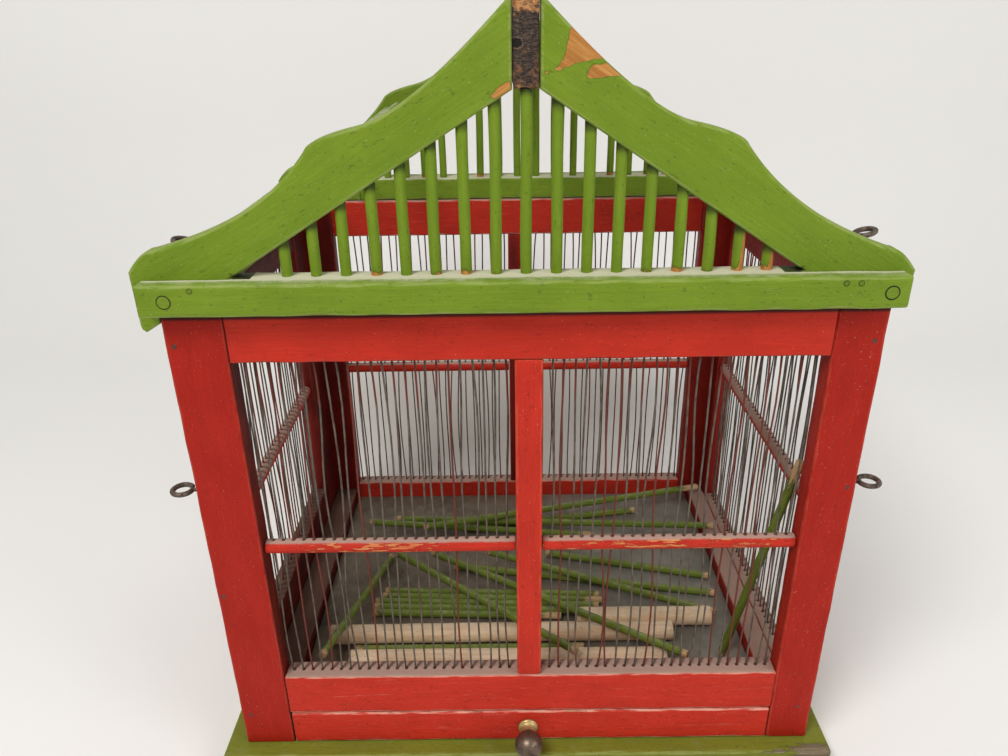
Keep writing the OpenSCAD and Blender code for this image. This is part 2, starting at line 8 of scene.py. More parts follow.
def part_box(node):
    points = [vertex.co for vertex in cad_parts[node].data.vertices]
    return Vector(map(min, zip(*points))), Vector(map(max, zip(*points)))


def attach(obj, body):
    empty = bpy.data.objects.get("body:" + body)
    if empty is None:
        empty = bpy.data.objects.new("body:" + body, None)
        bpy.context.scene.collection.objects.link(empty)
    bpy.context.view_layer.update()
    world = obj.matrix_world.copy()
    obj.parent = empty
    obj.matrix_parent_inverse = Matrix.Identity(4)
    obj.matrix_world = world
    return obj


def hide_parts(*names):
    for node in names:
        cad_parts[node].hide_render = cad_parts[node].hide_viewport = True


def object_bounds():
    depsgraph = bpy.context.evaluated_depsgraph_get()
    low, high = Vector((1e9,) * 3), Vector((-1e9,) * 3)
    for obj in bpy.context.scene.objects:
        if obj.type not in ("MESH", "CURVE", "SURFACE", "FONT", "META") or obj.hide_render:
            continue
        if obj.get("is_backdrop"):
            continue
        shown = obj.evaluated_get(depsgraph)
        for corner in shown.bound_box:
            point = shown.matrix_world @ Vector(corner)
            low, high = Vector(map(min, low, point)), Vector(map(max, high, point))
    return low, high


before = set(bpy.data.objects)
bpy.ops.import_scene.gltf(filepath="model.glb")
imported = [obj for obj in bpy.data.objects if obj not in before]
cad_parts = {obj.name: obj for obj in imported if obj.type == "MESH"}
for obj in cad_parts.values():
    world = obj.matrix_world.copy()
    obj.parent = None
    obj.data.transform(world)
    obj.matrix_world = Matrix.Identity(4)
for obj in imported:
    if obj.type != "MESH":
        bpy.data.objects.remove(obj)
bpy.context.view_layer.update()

# Lengths are in millimetres until a mesh is made; the frame itself, the lamps and the backdrop are in metres.

view = {"place": (-10.5, -572.0, 508.9), "pitchDown": 24.54, "turn": -0.275, "roll": -0.862, "lens": 27.952}
camera = bpy.data.objects.new("camera", bpy.data.cameras.new("camera"))
camera.data.lens = view["lens"]
camera.data.sensor_width = 36
camera.data.clip_start = 0.01
look = Euler((math.radians(90 - view["pitchDown"]), 0, math.radians(-view["turn"])), "XYZ").to_matrix()
roll = Euler((0, 0, math.radians(view["roll"])), "XYZ").to_matrix()
camera.matrix_world = (look @ roll).to_4x4()
camera.location = Vector(view["place"]) * 0.001
bpy.context.collection.objects.link(camera)
bpy.context.scene.camera = camera
bpy.context.scene.view_settings.view_transform = "Standard"


def areaLight(name, place, target, size, power, tint):
    lamp = bpy.data.lights.new(name, "AREA")
    lamp.shape = "DISK"
    lamp.size = size
    lamp.energy = power
    lamp.color = tint
    holder = bpy.data.objects.new(name, lamp)
    holder.location = place
    holder.rotation_euler = (Vector(target) - Vector(place)).to_track_quat("-Z", "Y").to_euler()
    bpy.context.collection.objects.link(holder)


lighting = {"sky": 0.36, "skyTint": (1, 0.99, 0.97), "seenTint": (0.80, 0.78, 0.75), "key": 31, "fill": 13}
areaLight("keyLight", (-0.75, -1.15, 1.95), (0, 0, 0.3), 0.9, lighting["key"], (1, 0.985, 0.96))
areaLight("fillLight", (1.5, -1.1, 1.0), (0, 0, 0.25), 1.2, lighting["fill"], (1, 0.99, 0.975))


def join(tree, value, socket):
    # a node's output is linked, a colour gets its alpha, and anything else is set
    if isinstance(value, Value):
        tree.links.new(value.socket, socket)
    elif socket.type == "RGBA":
        socket.default_value = (*value, 1.0)
    else:
        socket.default_value = value


class Node:
    # a shader node with its settings and inputs; indexing it gives an output
    def __init__(self, tree, kind, links=None, **settings):
        self.tree, self.node = tree, tree.nodes.new("ShaderNode" + kind)
        for key, value in settings.items():
            setattr(self.node, key, value)
        for key, value in (links or {}).items():
            join(tree, value, self.node.inputs[key])

    def __getitem__(self, key):
        return Value(self.tree, self.node.outputs[key])


class Value:
    # one output of a node; sums and products of it are Math nodes
    def __init__(self, tree, socket):
        self.tree, self.socket = tree, socket

    def maths(self, operation, other=0.0):
        return Node(self.tree, "Math", {0: self, 1: other}, operation=operation)[0]

    def __add__(self, other):
        return self.maths("ADD", other)

    def __sub__(self, other):
        return self.maths("SUBTRACT", other)

    def __mul__(self, other):
        return self.maths("MULTIPLY", other)

    def __truediv__(self, other):
        return self.maths("DIVIDE", other)

    def __abs__(self):
        return self.maths("ABSOLUTE")

    def larger(self, other):
        return self.maths("MAXIMUM", other)

    def stretched(self, *scale):
        return Node(self.tree, "VectorMath", {0: self, 1: scale}, operation="MULTIPLY")[0]

    def noise(self, scale, detail=2.0, rough=0.5, distort=0.0):
        return Node(self.tree, "TexNoise", {"Vector": self, "Scale": scale, "Detail": detail,
                                            "Roughness": rough, "Distortion": distort})[0]

    def step(self, low, high):
        # an S curve from 0 at low to 1 at high
        return Node(self.tree, "MapRange", {0: self, 1: low, 2: high}, interpolation_type="SMOOTHSTEP")[0]


def mixed(share, a, b):
    return Node(share.tree, "Mix", {0: share, 6: a, 7: b}, data_type="RGBA")[2]


def attribute(tree, name, output="Fac"):
    return Node(tree, "Attribute", attribute_name=name)[output]


def objectPlace(tree):
    return Node(tree, "TexCoord")["Object"].stretched(1000, 1000, 1000)


def axesOf(place):
    return Node(place.tree, "SeparateXYZ", {0: place})


world = bpy.data.worlds.new("studio")
bpy.context.scene.world = world
world.use_nodes = True
sky, background = world.node_tree, world.node_tree.nodes["Background"].inputs
path = Node(sky, "LightPath")
seen = path["Is Camera Ray"].larger(path["Is Glossy Ray"]).larger(path["Is Transmission Ray"])
join(sky, mixed(seen, lighting["skyTint"], lighting["seenTint"]), background["Color"])
join(sky, seen * (1 - lighting["sky"]) + lighting["sky"], background["Strength"])


def nodeGroup(name, inputs):
    # inputs are the names and usual values; None makes a vector
    tree = bpy.data.node_groups.new(name, "ShaderNodeTree")
    for label, value in inputs.items():
        kind = "NodeSocketVector" if value is None else "NodeSocketFloat"
        socket = tree.interface.new_socket(name=label, in_out="INPUT", socket_type=kind)
        if value is not None:
            socket.default_value = value
    given = tree.nodes.new("NodeGroupInput").outputs
    return tree, [Value(tree, given[label]) for label in inputs]


def giveOut(tree, **results):
    for label in results:
        tree.interface.new_socket(name=label, in_out="OUTPUT", socket_type="NodeSocketFloat")
    result = tree.nodes.new("NodeGroupOutput").inputs
    for label, value in results.items():
        join(tree, value, result[label])
    return tree


def shared(tree, group, **links):
    return Node(tree, "Group", links, node_tree=group)


def buildGrain():
    # long streaks along the first axis: noise squeezed across the grain
    tree, (place, across) = nodeGroup("woodGrain", {"Vector": None, "Across": 0.55})
    broad = place.stretched(0.045, 1, 1).noise(across, 3, 0.6, 0.4)
    fine = place.stretched(0.03, 1, 1).noise(2.6, 3, 0.6)
    return giveOut(tree, Streak=broad.step(0.33, 0.68), Fibre=fine.step(0.3, 0.7))


def buildWear():
    # paint is gone where the bare field, the worn edges and two sizes of noise add up to more than nothing
    tree, (place, bare, edge, edgeWear, chips, raggedness) = nodeGroup(
        "paintWear", {"Vector": None, "Bare": 0.0, "Edge": 0.0, "EdgeWear": 0.5, "Chips": 0.0, "Ragged": 1.5})
    ragged = place.stretched(0.16, 1, 1).noise(0.5, 4, 0.65)
    edges = edge * edgeWear * place.noise(0.055).step(0.42, 0.66)
    specks = place.noise(0.62, 3, 0.6).step(0.7, 0.78) * chips
    field = (ragged - 0.5) * raggedness + bare + edges * 1.3 + specks
    return giveOut(tree, Mask=field.step(0.0, 0.12), Rim=field.step(-0.16, 0.0) * field.step(0.16, 0.02))


def buildDust():
    # dust lies where the dust field beats a fine grainy noise
    tree, (place, dust) = nodeGroup("dustFilm", {"Vector": None, "Dust": 0.0})
    level = dust + 0.15 - (place.noise(0.12, 3, 0.6) * 0.5 + place.noise(1.4, 2, 0.6) * 0.4)
    return giveOut(tree, Mask=level.step(0.0, 0.5) * dust.step(0.0, 0.12))


def buildPaint():
    # soft blotches, brush lines along the grain, dark flecks, pale specks and fine scratches of old paint
    tree, (place,) = nodeGroup("oldPaint", {"Vector": None})
    return giveOut(tree, Blotch=place.stretched(0.45, 1, 1).noise(0.05, 4, 0.6).step(0.3, 0.72),
                   Brush=place.stretched(0.035, 1, 1).noise(0.75, 4, 0.7).step(0.32, 0.68),
                   Fleck=place.stretched(0.6, 1, 1).noise(0.38, 3, 0.7).step(0.6, 0.69),
                   Speck=place.noise(0.8, 2, 0.6).step(0.69, 0.74),
                   Scratch=place.stretched(0.06, 1, 1).noise(0.8, 2, 0.5, 1.2).step(0.64, 0.74))


def fromMiddle(a, b):
    return (a * a + b * b).maths("SQRT")


def buildRow():
    # distances to a row of wires: a ring of painted shade round each foot, and a painted shadow wedge behind
    # it that widens
    tree, (along, across, pitch) = nodeGroup("wireRow", {"Along": 0.0, "Across": 0.0, "Pitch": 6.8})

    def fromWire(lean):
        return abs(((across * lean + along) / pitch).maths("FRACT") - 0.5) * pitch

    gap = fromWire(-0.5) - across.larger(0.0) * 0.14
    return giveOut(tree, Hole=fromMiddle(fromWire(0.0), across).step(1.7, 0.9),
                   Wedge=gap.step(1.3, 0.3) * across.step(-0.4, 0.6))


grainGroup, wearGroup, dustGroup = buildGrain(), buildWear(), buildDust()
paintGroup, rowGroup = buildPaint(), buildRow()
print("shared effects built")


def boxOf(nodeName):
    low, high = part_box(nodeName)
    return np.array(low) * 1000, np.array(high) * 1000


def middleOf(nodeName, axis):
    return float(np.mean([corner[axis] for corner in boxOf(nodeName)]))


def newMaterial(name, slotName):
    material = bpy.data.materials.new(name)
    material.use_nodes = True
    material["slot"] = slotName
    return material, material.node_tree


def finishMaterial(material, shown, rough, height, strength, depth, **plain):
    # colour, roughness and relief into the shader, and its plain values
    tree = material.node_tree
    sockets = tree.nodes["Principled BSDF"].inputs
    relief = Node(tree, "Bump", {"Strength": strength, "Distance": depth, "Height": height})
    for label, value in (("Base Color", shown), ("Roughness", rough), ("Normal", relief[0])):
        join(tree, value, sockets[label])
    for label, value in plain.items():
        sockets["Specular IOR Level" if label == "specular" else "Metallic"].default_value = value
    return material


midY = 7.0  # the body's middle from front to back
eavesShade = {"out": (154.6, 155.4), "up": (353.6, 355.6)}


def rowMarks(tree, row):
    # the marks of a row of wires, painted shade round their feet and painted shadows behind them; the second
    # bay starts again past the mullion
    axes = axesOf(objectPlace(tree))
    along = axes[row["axis"]]
    start = along.maths("GREATER_THAN", row["split"]) * (row["second"] - row["first"]) + row["first"]
    return shared(tree, rowGroup, Along=along - start, Across=axes[1 - row["axis"]] - row["line"],
                  Pitch=wire["pitch"])


def paintedWood(name, slotName, look, row=None):
    material, tree = newMaterial(name, slotName)
    place, edge = attribute(tree, "grain", "Vector"), attribute(tree, "edge")
    grain = shared(tree, grainGroup, Vector=place, Across=look["grain"])
    wear = shared(tree, wearGroup, Vector=place, Bare=attribute(tree, "bare"), Edge=edge,
                  EdgeWear=look["edgeWear"], Chips=look["chips"], Ragged=look["ragged"])
    marks = shared(tree, paintGroup, Vector=place)
    film = shared(tree, dustGroup, Vector=place, Dust=attribute(tree, "dust"))["Mask"]
    # the pale arris along every rounded edge is worn paint and partly a painted highlight
    thin = place.stretched(0.12, 1, 1).noise(0.5, 3, 0.6).step(0.34, 0.6)
    paint = mixed(marks["Blotch"] * look["blotch"], look["paint"], look["shade"])
    for share, coat in ((marks["Brush"] * look["brush"], "shade"), (marks["Scratch"] * 0.12, "arris"),
                        (marks["Fleck"] * look["flecks"], "fleck"),
                        (thin * edge.step(0.86, 1.0) * look["arrisCover"], "arris")):
        paint = mixed(share, paint, look[coat])
    fine = place.stretched(0.06, 1, 1).noise(1.3, 3, 0.6).step(0.42, 0.62)
    wood = mixed(grain["Streak"], look["wood"], look["woodDark"])
    for share in (grain["Fibre"] * 0.6, fine * 0.5):
        wood = mixed(share, wood, look["woodDark"])
    shown = mixed(wear["Mask"], paint, wood)
    shown = mixed(wear["Rim"] * 0.4, shown, look["fleck"])
    shown = mixed(film * look["dustCover"], shown, look["dust"])
    # darkening from dark joints and from painted shade, as each piece's field gives it, plus the marks below
    jointsAndShade = attribute(tree, "jointsAndShade") * (marks["Blotch"] * 0.3 + 0.75)
    if row:
        # painted shadows of the wires as dark wedges in the dust, and painted shade in the holes round their
        # feet
        feet = rowMarks(tree, row)
        shown = mixed(film * feet["Wedge"] * 0.7, shown, (0.09, 0.05, 0.04))
        jointsAndShade = jointsAndShade.larger(feet["Hole"] * 0.85)
    shown = mixed(marks["Speck"] * 0.6, shown, look["speck"])
    if look.get("eaves"):
        # painted shadow: darkens the strip just under the roof's overhanging rails, front and back
        axes = axesOf(objectPlace(tree))
        outer = abs(axes[1] - midY).step(*eavesShade["out"])
        jointsAndShade = jointsAndShade.larger(axes[2].step(*eavesShade["up"]) * outer * 0.95)
    rough = (marks["Blotch"] * 0.14 + look["rough"]).larger(wear["Mask"] * 0.8).larger(film * 0.95)
    lumps = place.stretched(0.7, 1, 1).noise(0.5, 3, 0.6)
    height = (marks["Brush"] * 0.5 + lumps * 1.4 - wear["Mask"] * 0.9 - marks["Fleck"] * 0.6
              + marks["Speck"] * 0.4)
    shown = mixed(jointsAndShade, shown, look["jointsAndShade"])
    return finishMaterial(material, shown, rough, height, 0.6, 0.0003, specular=0.15)


redLook = {"paint": (0.56, 0.030, 0.014), "shade": (0.36, 0.018, 0.009), "arris": (0.70, 0.13, 0.07),
           "fleck": (0.15, 0.014, 0.009), "speck": (0.62, 0.30, 0.24), "wood": (0.76, 0.50, 0.34),
           "woodDark": (0.48, 0.19, 0.09), "dust": (0.36, 0.26, 0.21), "jointsAndShade": (0.035, 0.005, 0.004),
           "arrisCover": 0.4, "flecks": 0.5, "dustCover": 0.9, "rough": 0.46, "grain": 0.55, "edgeWear": 0.5,
           "chips": 0.4, "blotch": 0.45, "brush": 0.3, "ragged": 1.5, "eaves": True}
greenLook = {"paint": (0.178, 0.272, 0.018), "shade": (0.115, 0.19, 0.012), "arris": (0.38, 0.42, 0.16),
             "fleck": (0.04, 0.05, 0.012), "speck": (0.36, 0.42, 0.18), "wood": (0.60, 0.31, 0.09),
             "woodDark": (0.37, 0.15, 0.035), "dust": (0.60, 0.58, 0.42), "jointsAndShade": (0.012, 0.012, 0.006),
             "arrisCover": 0.35, "flecks": 0.35, "dustCover": 0.92, "rough": 0.5, "grain": 0.5,
             "edgeWear": 0.6, "chips": 0.4, "blotch": 0.5, "brush": 0.35, "ragged": 0.8}
# the ledges' pale arris: worn paint and partly a painted highlight
ledgeWornAndHighlit = {"arris": (0.80, 0.42, 0.32), "arrisCover": 0.6}
# painted shade: darker paint, arris and dust for the pieces on the cage's shaded left side
shaded = {"paint": (0.30, 0.02, 0.011), "shade": (0.16, 0.012, 0.008), "arris": (0.35, 0.08, 0.05),
          "dust": (0.20, 0.135, 0.10)}
leftWornShaded = {**ledgeWornAndHighlit, **shaded}
barWorn = {"chips": 1.0, "dust": (0.42, 0.29, 0.24), "edgeWear": 0.3, "ragged": 3.0,
           "wood": (0.70, 0.36, 0.14), "woodDark": (0.56, 0.12, 0.04), "arris": (0.70, 0.30, 0.12),
           "flecks": 0.7, "brush": 0.45}


def red(name, row=None, **changes):
    return paintedWood(name, "red_paint", {**redLook, **changes}, row)


def green(name, **changes):
    return paintedWood(name, "green_paint", {**greenLook, **changes})


wire = {"diameter": 1.3, "pitch": 6.8, "bow": 1.5, "sides": 6, "stations": 8, "painted": 0.15}
redPaint = red("redPaint")
redPost = red("redPost", paint=(0.40, 0.015, 0.006), shade=(0.27, 0.010, 0.005), arris=(0.55, 0.09, 0.05))
# redShade is the shaded copy of the red paint, for the left tray guide
redShade = red("redShade", **shaded)
redDrawer = red("redDrawer", edgeWear=0.75, arris=(0.80, 0.42, 0.32), arrisCover=0.7)
greenPaint = green("greenPaint")
greenRod = green("greenRod", chips=0.7, edgeWear=1.0, grain=0.9, arrisCover=0.3)
looseGreen = green("looseGreen", paint=(0.165, 0.225, 0.030), shade=(0.10, 0.14, 0.018),
                   dust=(0.44, 0.45, 0.27), wood=(0.66, 0.46, 0.25), flecks=0.6,
                   woodDark=(0.42, 0.26, 0.12), chips=0.7, grain=0.9, arrisCover=0.2)
greenBase = green("greenBase", paint=(0.185, 0.20, 0.020), shade=(0.13, 0.15, 0.014),
                  dust=(0.34, 0.33, 0.2), wood=(0.30, 0.24, 0.16), woodDark=(0.12, 0.09, 0.05), ragged=1.6)


def rowAt(low, high):
    count = int((high - low) / wire["pitch"])
    return (low + high) / 2 + (np.arange(count) - (count - 1) / 2) * wire["pitch"]


def wireRows(face):
    # the two bays of the front or back: where their wires stand along X
    left, mid, right = (boxOf(f"{face}_{part}") for part in ("stile_left", "mullion", "stile_right"))
    return rowAt(left[1][0], mid[0][0]), rowAt(mid[1][0], right[0][0])


def sideRow(side):
    return rowAt(boxOf(f"{side}_stile_front")[1][1], boxOf(f"{side}_stile_back")[0][1])


def rowOf(rows, axis, line):
    # where the marks of one or two bays of wires start, and the line that the wires stand on
    first, second = (float(bay[0] - wire["pitch"] / 2) for bay in (rows[0], rows[-1]))
    return {"axis": axis, "first": first, "second": second, "split": 2.4, "line": line}


wireLine = {"front": middleOf("front_wires_left", 1), "back": middleOf("back_wires_left", 1),
            "left": middleOf("left_wires", 0), "right": middleOf("right_wires", 0)}
rows = {face: rowOf(wireRows(face), 0, wireLine[face]) for face in ("front", "back")}
rows.update({side: rowOf([sideRow(side)], 1, wireLine[side]) for side in ("left", "right")})
ledges = {face: red(face + "Ledge", row, **(leftWornShaded if face == "left" else ledgeWornAndHighlit))
          for face, row in rows.items()}
bars = {face: red(face + "Bar", row, **barWorn) for face, row in rows.items()}
headLedge = red("headLedge", rows["front"], arris=(0.5, 0.06, 0.035), arrisCover=0.6)


def bareWood(name, look):
    material, tree = newMaterial(name, "bare_wood")
    place = attribute(tree, "grain", "Vector")
    grain = shared(tree, grainGroup, Vector=place, Across=look["grain"])
    film = shared(tree, dustGroup, Vector=place, Dust=attribute(tree, "dust"))["Mask"]
    marks = shared(tree, paintGroup, Vector=place)
    wood = mixed(grain["Streak"], look["light"], look["dark"])
    for share, tone in ((grain["Fibre"] * 0.35, "dark"), (marks["Blotch"] * look["stain"], "stained"),
                        (marks["Fleck"] * 0.7, "stained"), (attribute(tree, "edge") * 0.35, "stained"),
                        (film * 0.8, "dust")):
        wood = mixed(share, wood, look[tone])
    return finishMaterial(material, wood, grain["Streak"] * 0.15 + 0.72,
                          grain["Fibre"] + grain["Streak"] * 0.6, 0.5, 0.0004, specular=0.3)


perchWood = bareWood("perchWood", {"light": (0.98, 0.82, 0.58), "dark": (0.84, 0.60, 0.37), "stain": 0.55,
                                   "stained": (0.50, 0.32, 0.18), "dust": (0.62, 0.50, 0.40), "grain": 0.4})
trayWood = bareWood("trayWood", {"light": (0.42, 0.28, 0.15), "dark": (0.28, 0.17, 0.09), "stain": 0.5,
                                 "stained": (0.16, 0.11, 0.07), "dust": (0.3, 0.26, 0.2), "grain": 0.3})
burn = {"top": 513.5, "bottom": 477.0, "patches": (499.0, 491.0), "hollows": ((-4.4, 498.4), (0.6, 475.6)),
        "hollowSize": (3.3, 2.3)}


def charredWood():
    # charcoal between two heights, brown scorched wood above and below, two hollows painted black with char
    # and painted shade, each with a pale lip
    material, tree = newMaterial("charredWood", "weathered_wood")
    place = objectPlace(tree)
    axes = axesOf(place)
    cloud = place.noise(0.16, 4, 0.7)
    level = axes[2] + (cloud - 0.5) * 34.0
    char = level.step(burn["bottom"] - 5, burn["bottom"] + 5) * level.step(burn["top"] + 2.5, burn["top"] - 2)
    fibre = place.stretched(0.25, 0.12, 1).noise(1.6, 4, 0.7)
    scorch = place.stretched(0.7, 0.5, 1).noise(0.35, 4, 0.7).step(0.42, 0.6)
    face = float(boxOf("ridge_beam")[0][1])
    wood = mixed(axes[1].step(face + 5, face + 1), (0.17, 0.11, 0.065), (0.50, 0.24, 0.09))
    wood = mixed(scorch, wood, (0.12, 0.055, 0.025))
    coal = mixed(fibre.step(0.4, 0.62), (0.014, 0.011, 0.010), (0.085, 0.055, 0.038))
    patch = place.noise(0.3, 4, 0.7).step(0.5, 0.62) * level.step(*burn["patches"])
    coal = mixed(patch * 0.6, coal, (0.24, 0.10, 0.04))
    ash = place.noise(0.7, 3, 0.7).step(0.6, 0.68) * 0.5
    shown = mixed(ash, mixed(char, wood, coal), (0.26, 0.21, 0.18))
    wide, tall = burn["hollowSize"]
    for x, z in burn["hollows"]:
        away = fromMiddle((axes[0] - x) / wide, (axes[2] + (cloud - 0.5) * 7.0 - z) / tall)
        shown = mixed(away.step(1.35, 1.15) * 0.2, shown, (0.30, 0.21, 0.15))
        shown = mixed(away.step(1.15, 0.95), shown, (0.006, 0.004, 0.003))
    return finishMaterial(material, shown, scorch * 0.1 + 0.7, fibre + cloud, 0.9, 0.0006, specular=0.25)


def agedWire():
    # dull steel with rust and soot, and some old paint where the bare attribute says so
    material, tree = newMaterial("agedWire", "steel_wire")
    place = attribute(tree, "grain", "Vector")
    rust = place.stretched(0.25, 1, 1).noise(0.5, 3, 0.6).step(0.42, 0.64)
    metal = mixed(rust, (0.145, 0.12, 0.095), (0.075, 0.047, 0.032))
    metal = mixed(place.noise(0.06) * 0.5, metal, (0.045, 0.036, 0.03))
    metal = mixed(attribute(tree, "bare").step(0.35, 0.6), metal, (0.13, 0.028, 0.018))
    return finishMaterial(material, metal, rust * 0.25 + 0.45, rust, 0.4, 0.0001, metallic=0.1, specular=0.3)


def stainedSheet():
    # browner on the left, greyer on the right
    material, tree = newMaterial("stainedSheet", "zinc_sheet")
    place = attribute(tree, "grain", "Vector")
    film = shared(tree, dustGroup, Vector=place, Dust=attribute(tree, "dust"))["Mask"]
    cloud = place.noise(0.02, 5, 0.62).step(0.35, 0.66)
    spots = place.noise(0.35, 4, 0.65).step(0.58, 0.72)
    brown = mixed(cloud, (0.165, 0.125, 0.085), (0.075, 0.058, 0.038))
    grey = mixed(cloud, (0.27, 0.28, 0.25), (0.16, 0.16, 0.14))
    metal = mixed(axesOf(objectPlace(tree))[0].step(-50, 120) * 0.75, brown, grey)
    metal = mixed(spots * 0.6, metal, (0.27, 0.24, 0.2))
    metal = mixed(film * 0.6, metal, (0.30, 0.26, 0.20))
    return finishMaterial(material, metal, cloud * 0.2 + 0.55, spots, 0.3, 0.0002, metallic=0.3)


def tarnished(name, slotName, look):
    # cloudy metal, brighter where the polish attribute says so
    material, tree = newMaterial(name, slotName)
    cloud = attribute(tree, "grain", "Vector").noise(look["cloud"], 4, 0.6).step(0.38, 0.66)
    metal = mixed(cloud, look["bright"], look["dull"])
    if "polished" in look:
        metal = mixed(attribute(tree, "polish") * 0.8, metal, look["polished"])
    return finishMaterial(material, metal, cloud * 0.3 + look["rough"], cloud, 0.4, 0.00015,
                          metallic=look["metal"])


wireMetal = agedWire()
traySheet = stainedSheet()
oldBrass = tarnished("oldBrass", "brass", {"bright": (0.15, 0.105, 0.075), "dull": (0.07, 0.05, 0.038),
                                           "polished": (0.52, 0.39, 0.16), "cloud": 0.16, "rough": 0.34,
                                           "metal": 0.7})
oldIron = tarnished("oldIron", "iron", {"bright": (0.12, 0.085, 0.065), "dull": (0.04, 0.03, 0.026),
                                        "cloud": 0.4, "rough": 0.5, "metal": 0.3})
rustyIron = tarnished("rustyIron", "iron", {"bright": (0.17, 0.035, 0.022), "dull": (0.05, 0.018, 0.014),
                                            "cloud": 0.5, "rough": 0.6, "metal": 0.1})
charred = charredWood()
print("materials built")


def seedOf(name):
    return np.random.default_rng([ord(letter) for letter in name])


def waver(t, rng, span):
    # the mean of four sines whose lengths lie near span, for every t
    rate = rng.uniform(0.6, 1.7, 4) / span * 2 * np.pi
    return np.sin(np.multiply.outer(t, rate) + rng.uniform(0, 2 * np.pi, 4)).mean(-1)


def smooth(t, low, high):
    s = np.clip((t - low) / (high - low), 0, 1)
    return s * s * (3 - 2 * s)


def stacked(*parts):
    return np.stack(np.broadcast_arrays(*parts), -1)


def circle(sides):
    turn = np.arange(sides) * 2 * np.pi / sides
    return np.cos(turn), np.sin(turn)


def makePiece(name, points, faces, fields, material, body, stands=()):
    mesh = bpy.data.meshes.new(name)
    mesh.from_pydata((points * 0.001).tolist(), [], faces)
    for key, values in fields.items():
        vector = values.ndim == 2
        layer = mesh.attributes.new(key, "FLOAT_VECTOR" if vector else "FLOAT", "POINT")
        layer.data.foreach_set("vector" if vector else "value", values.astype(np.float32).ravel())
    mesh.shade_smooth()
    mesh.materials.append(material)
    piece = bpy.data.objects.new(name, mesh)
    bpy.context.collection.objects.link(piece)
    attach(piece, body)
    if stands:
        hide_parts(*stands)


def loft(name, rings, fields, material, body, stands=(), flip=False):
    # rings is (tubes, stations, around, 3): each tube is a skin over its rings, closed by a point at each end
    tubes, stations, around = rings.shape[:3]
    count = tubes * stations * around
    index = np.arange(count).reshape(tubes, stations, around)
    here, there = index[:, :-1], index[:, 1:]
    quads = np.stack([here, np.roll(here, -1, 2), np.roll(there, -1, 2), there], -1).reshape(-1, 4)
    first, last = index[:, 0], index[:, -1]
    pole = np.broadcast_to(count + np.arange(tubes)[:, None], first.shape)
    tris = np.concatenate([np.stack([pole, np.roll(first, -1, 1), first], -1).reshape(-1, 3),
                           np.stack([pole + tubes, last, np.roll(last, -1, 1)], -1).reshape(-1, 3)])
    if flip:
        quads, tris = quads[:, ::-1], tris[:, ::-1]

    def closed(values):
        ends = np.concatenate([values[:, 0].mean(1), values[:, -1].mean(1)])
        return np.concatenate([values.reshape(count, *values.shape[3:]), ends])

    makePiece(name, closed(rings), quads.tolist() + tris.tolist(),
              {key: closed(values) for key, values in fields.items()}, material, body, stands)


def roundedSection(low, high, radius, inner):
    # a rectangle with four quarter-circle corners, at each station; points stand closer beside the corners
    band = 2.0
    signs = np.array([(1, 1), (-1, 1), (-1, -1), (1, -1)])
    centre = np.where(signs > 0, high[:, None], low[:, None]) - signs * radius[..., None]
    turn = np.radians(np.arange(4)[:, None] * 90 + np.array([0, 45, 90]))
    outward = np.stack([np.cos(turn), np.sin(turn)], -1)
    arcs = centre[:, :, None] + radius[..., None, None] * outward
    points, edge, normal = [], [], []
    for k in range(4):
        start, end = arcs[:, k, -1], arcs[:, (k + 1) % 4, 0]
        length = np.linalg.norm(end - start, axis=1)
        share = np.minimum(band / np.maximum(length, 1e-6), 0.3)[:, None]
        along = share + (1 - 2 * share) * np.linspace(0, 1, inner[k % 2] + 2)
        points += [arcs[:, k], start[:, None] + (end - start)[:, None] * along[..., None]]
        edge += [1.0] * 3 + [0.0] * (inner[k % 2] + 2)
        normal += [outward[k], np.repeat(outward[k, -1:], inner[k % 2] + 2, 0)]
    return np.concatenate(points, 1), np.array(edge), np.concatenate(normal)


def endStations(length, radius, step, extra=()):
    # places along a piece, with a quarter circle of narrowing at each end, whose middle lies at halfway
    halfway = 0.293 * radius
    middle = np.linspace(radius, length - radius, max(3, int(length / step)))
    middle = np.unique(np.concatenate([middle, np.array(extra, float)]))
    along = np.concatenate([[0, halfway], middle, [length - halfway, length]])
    inset = np.concatenate([[radius, halfway], np.zeros(len(middle)), [halfway, radius]])
    return along, inset


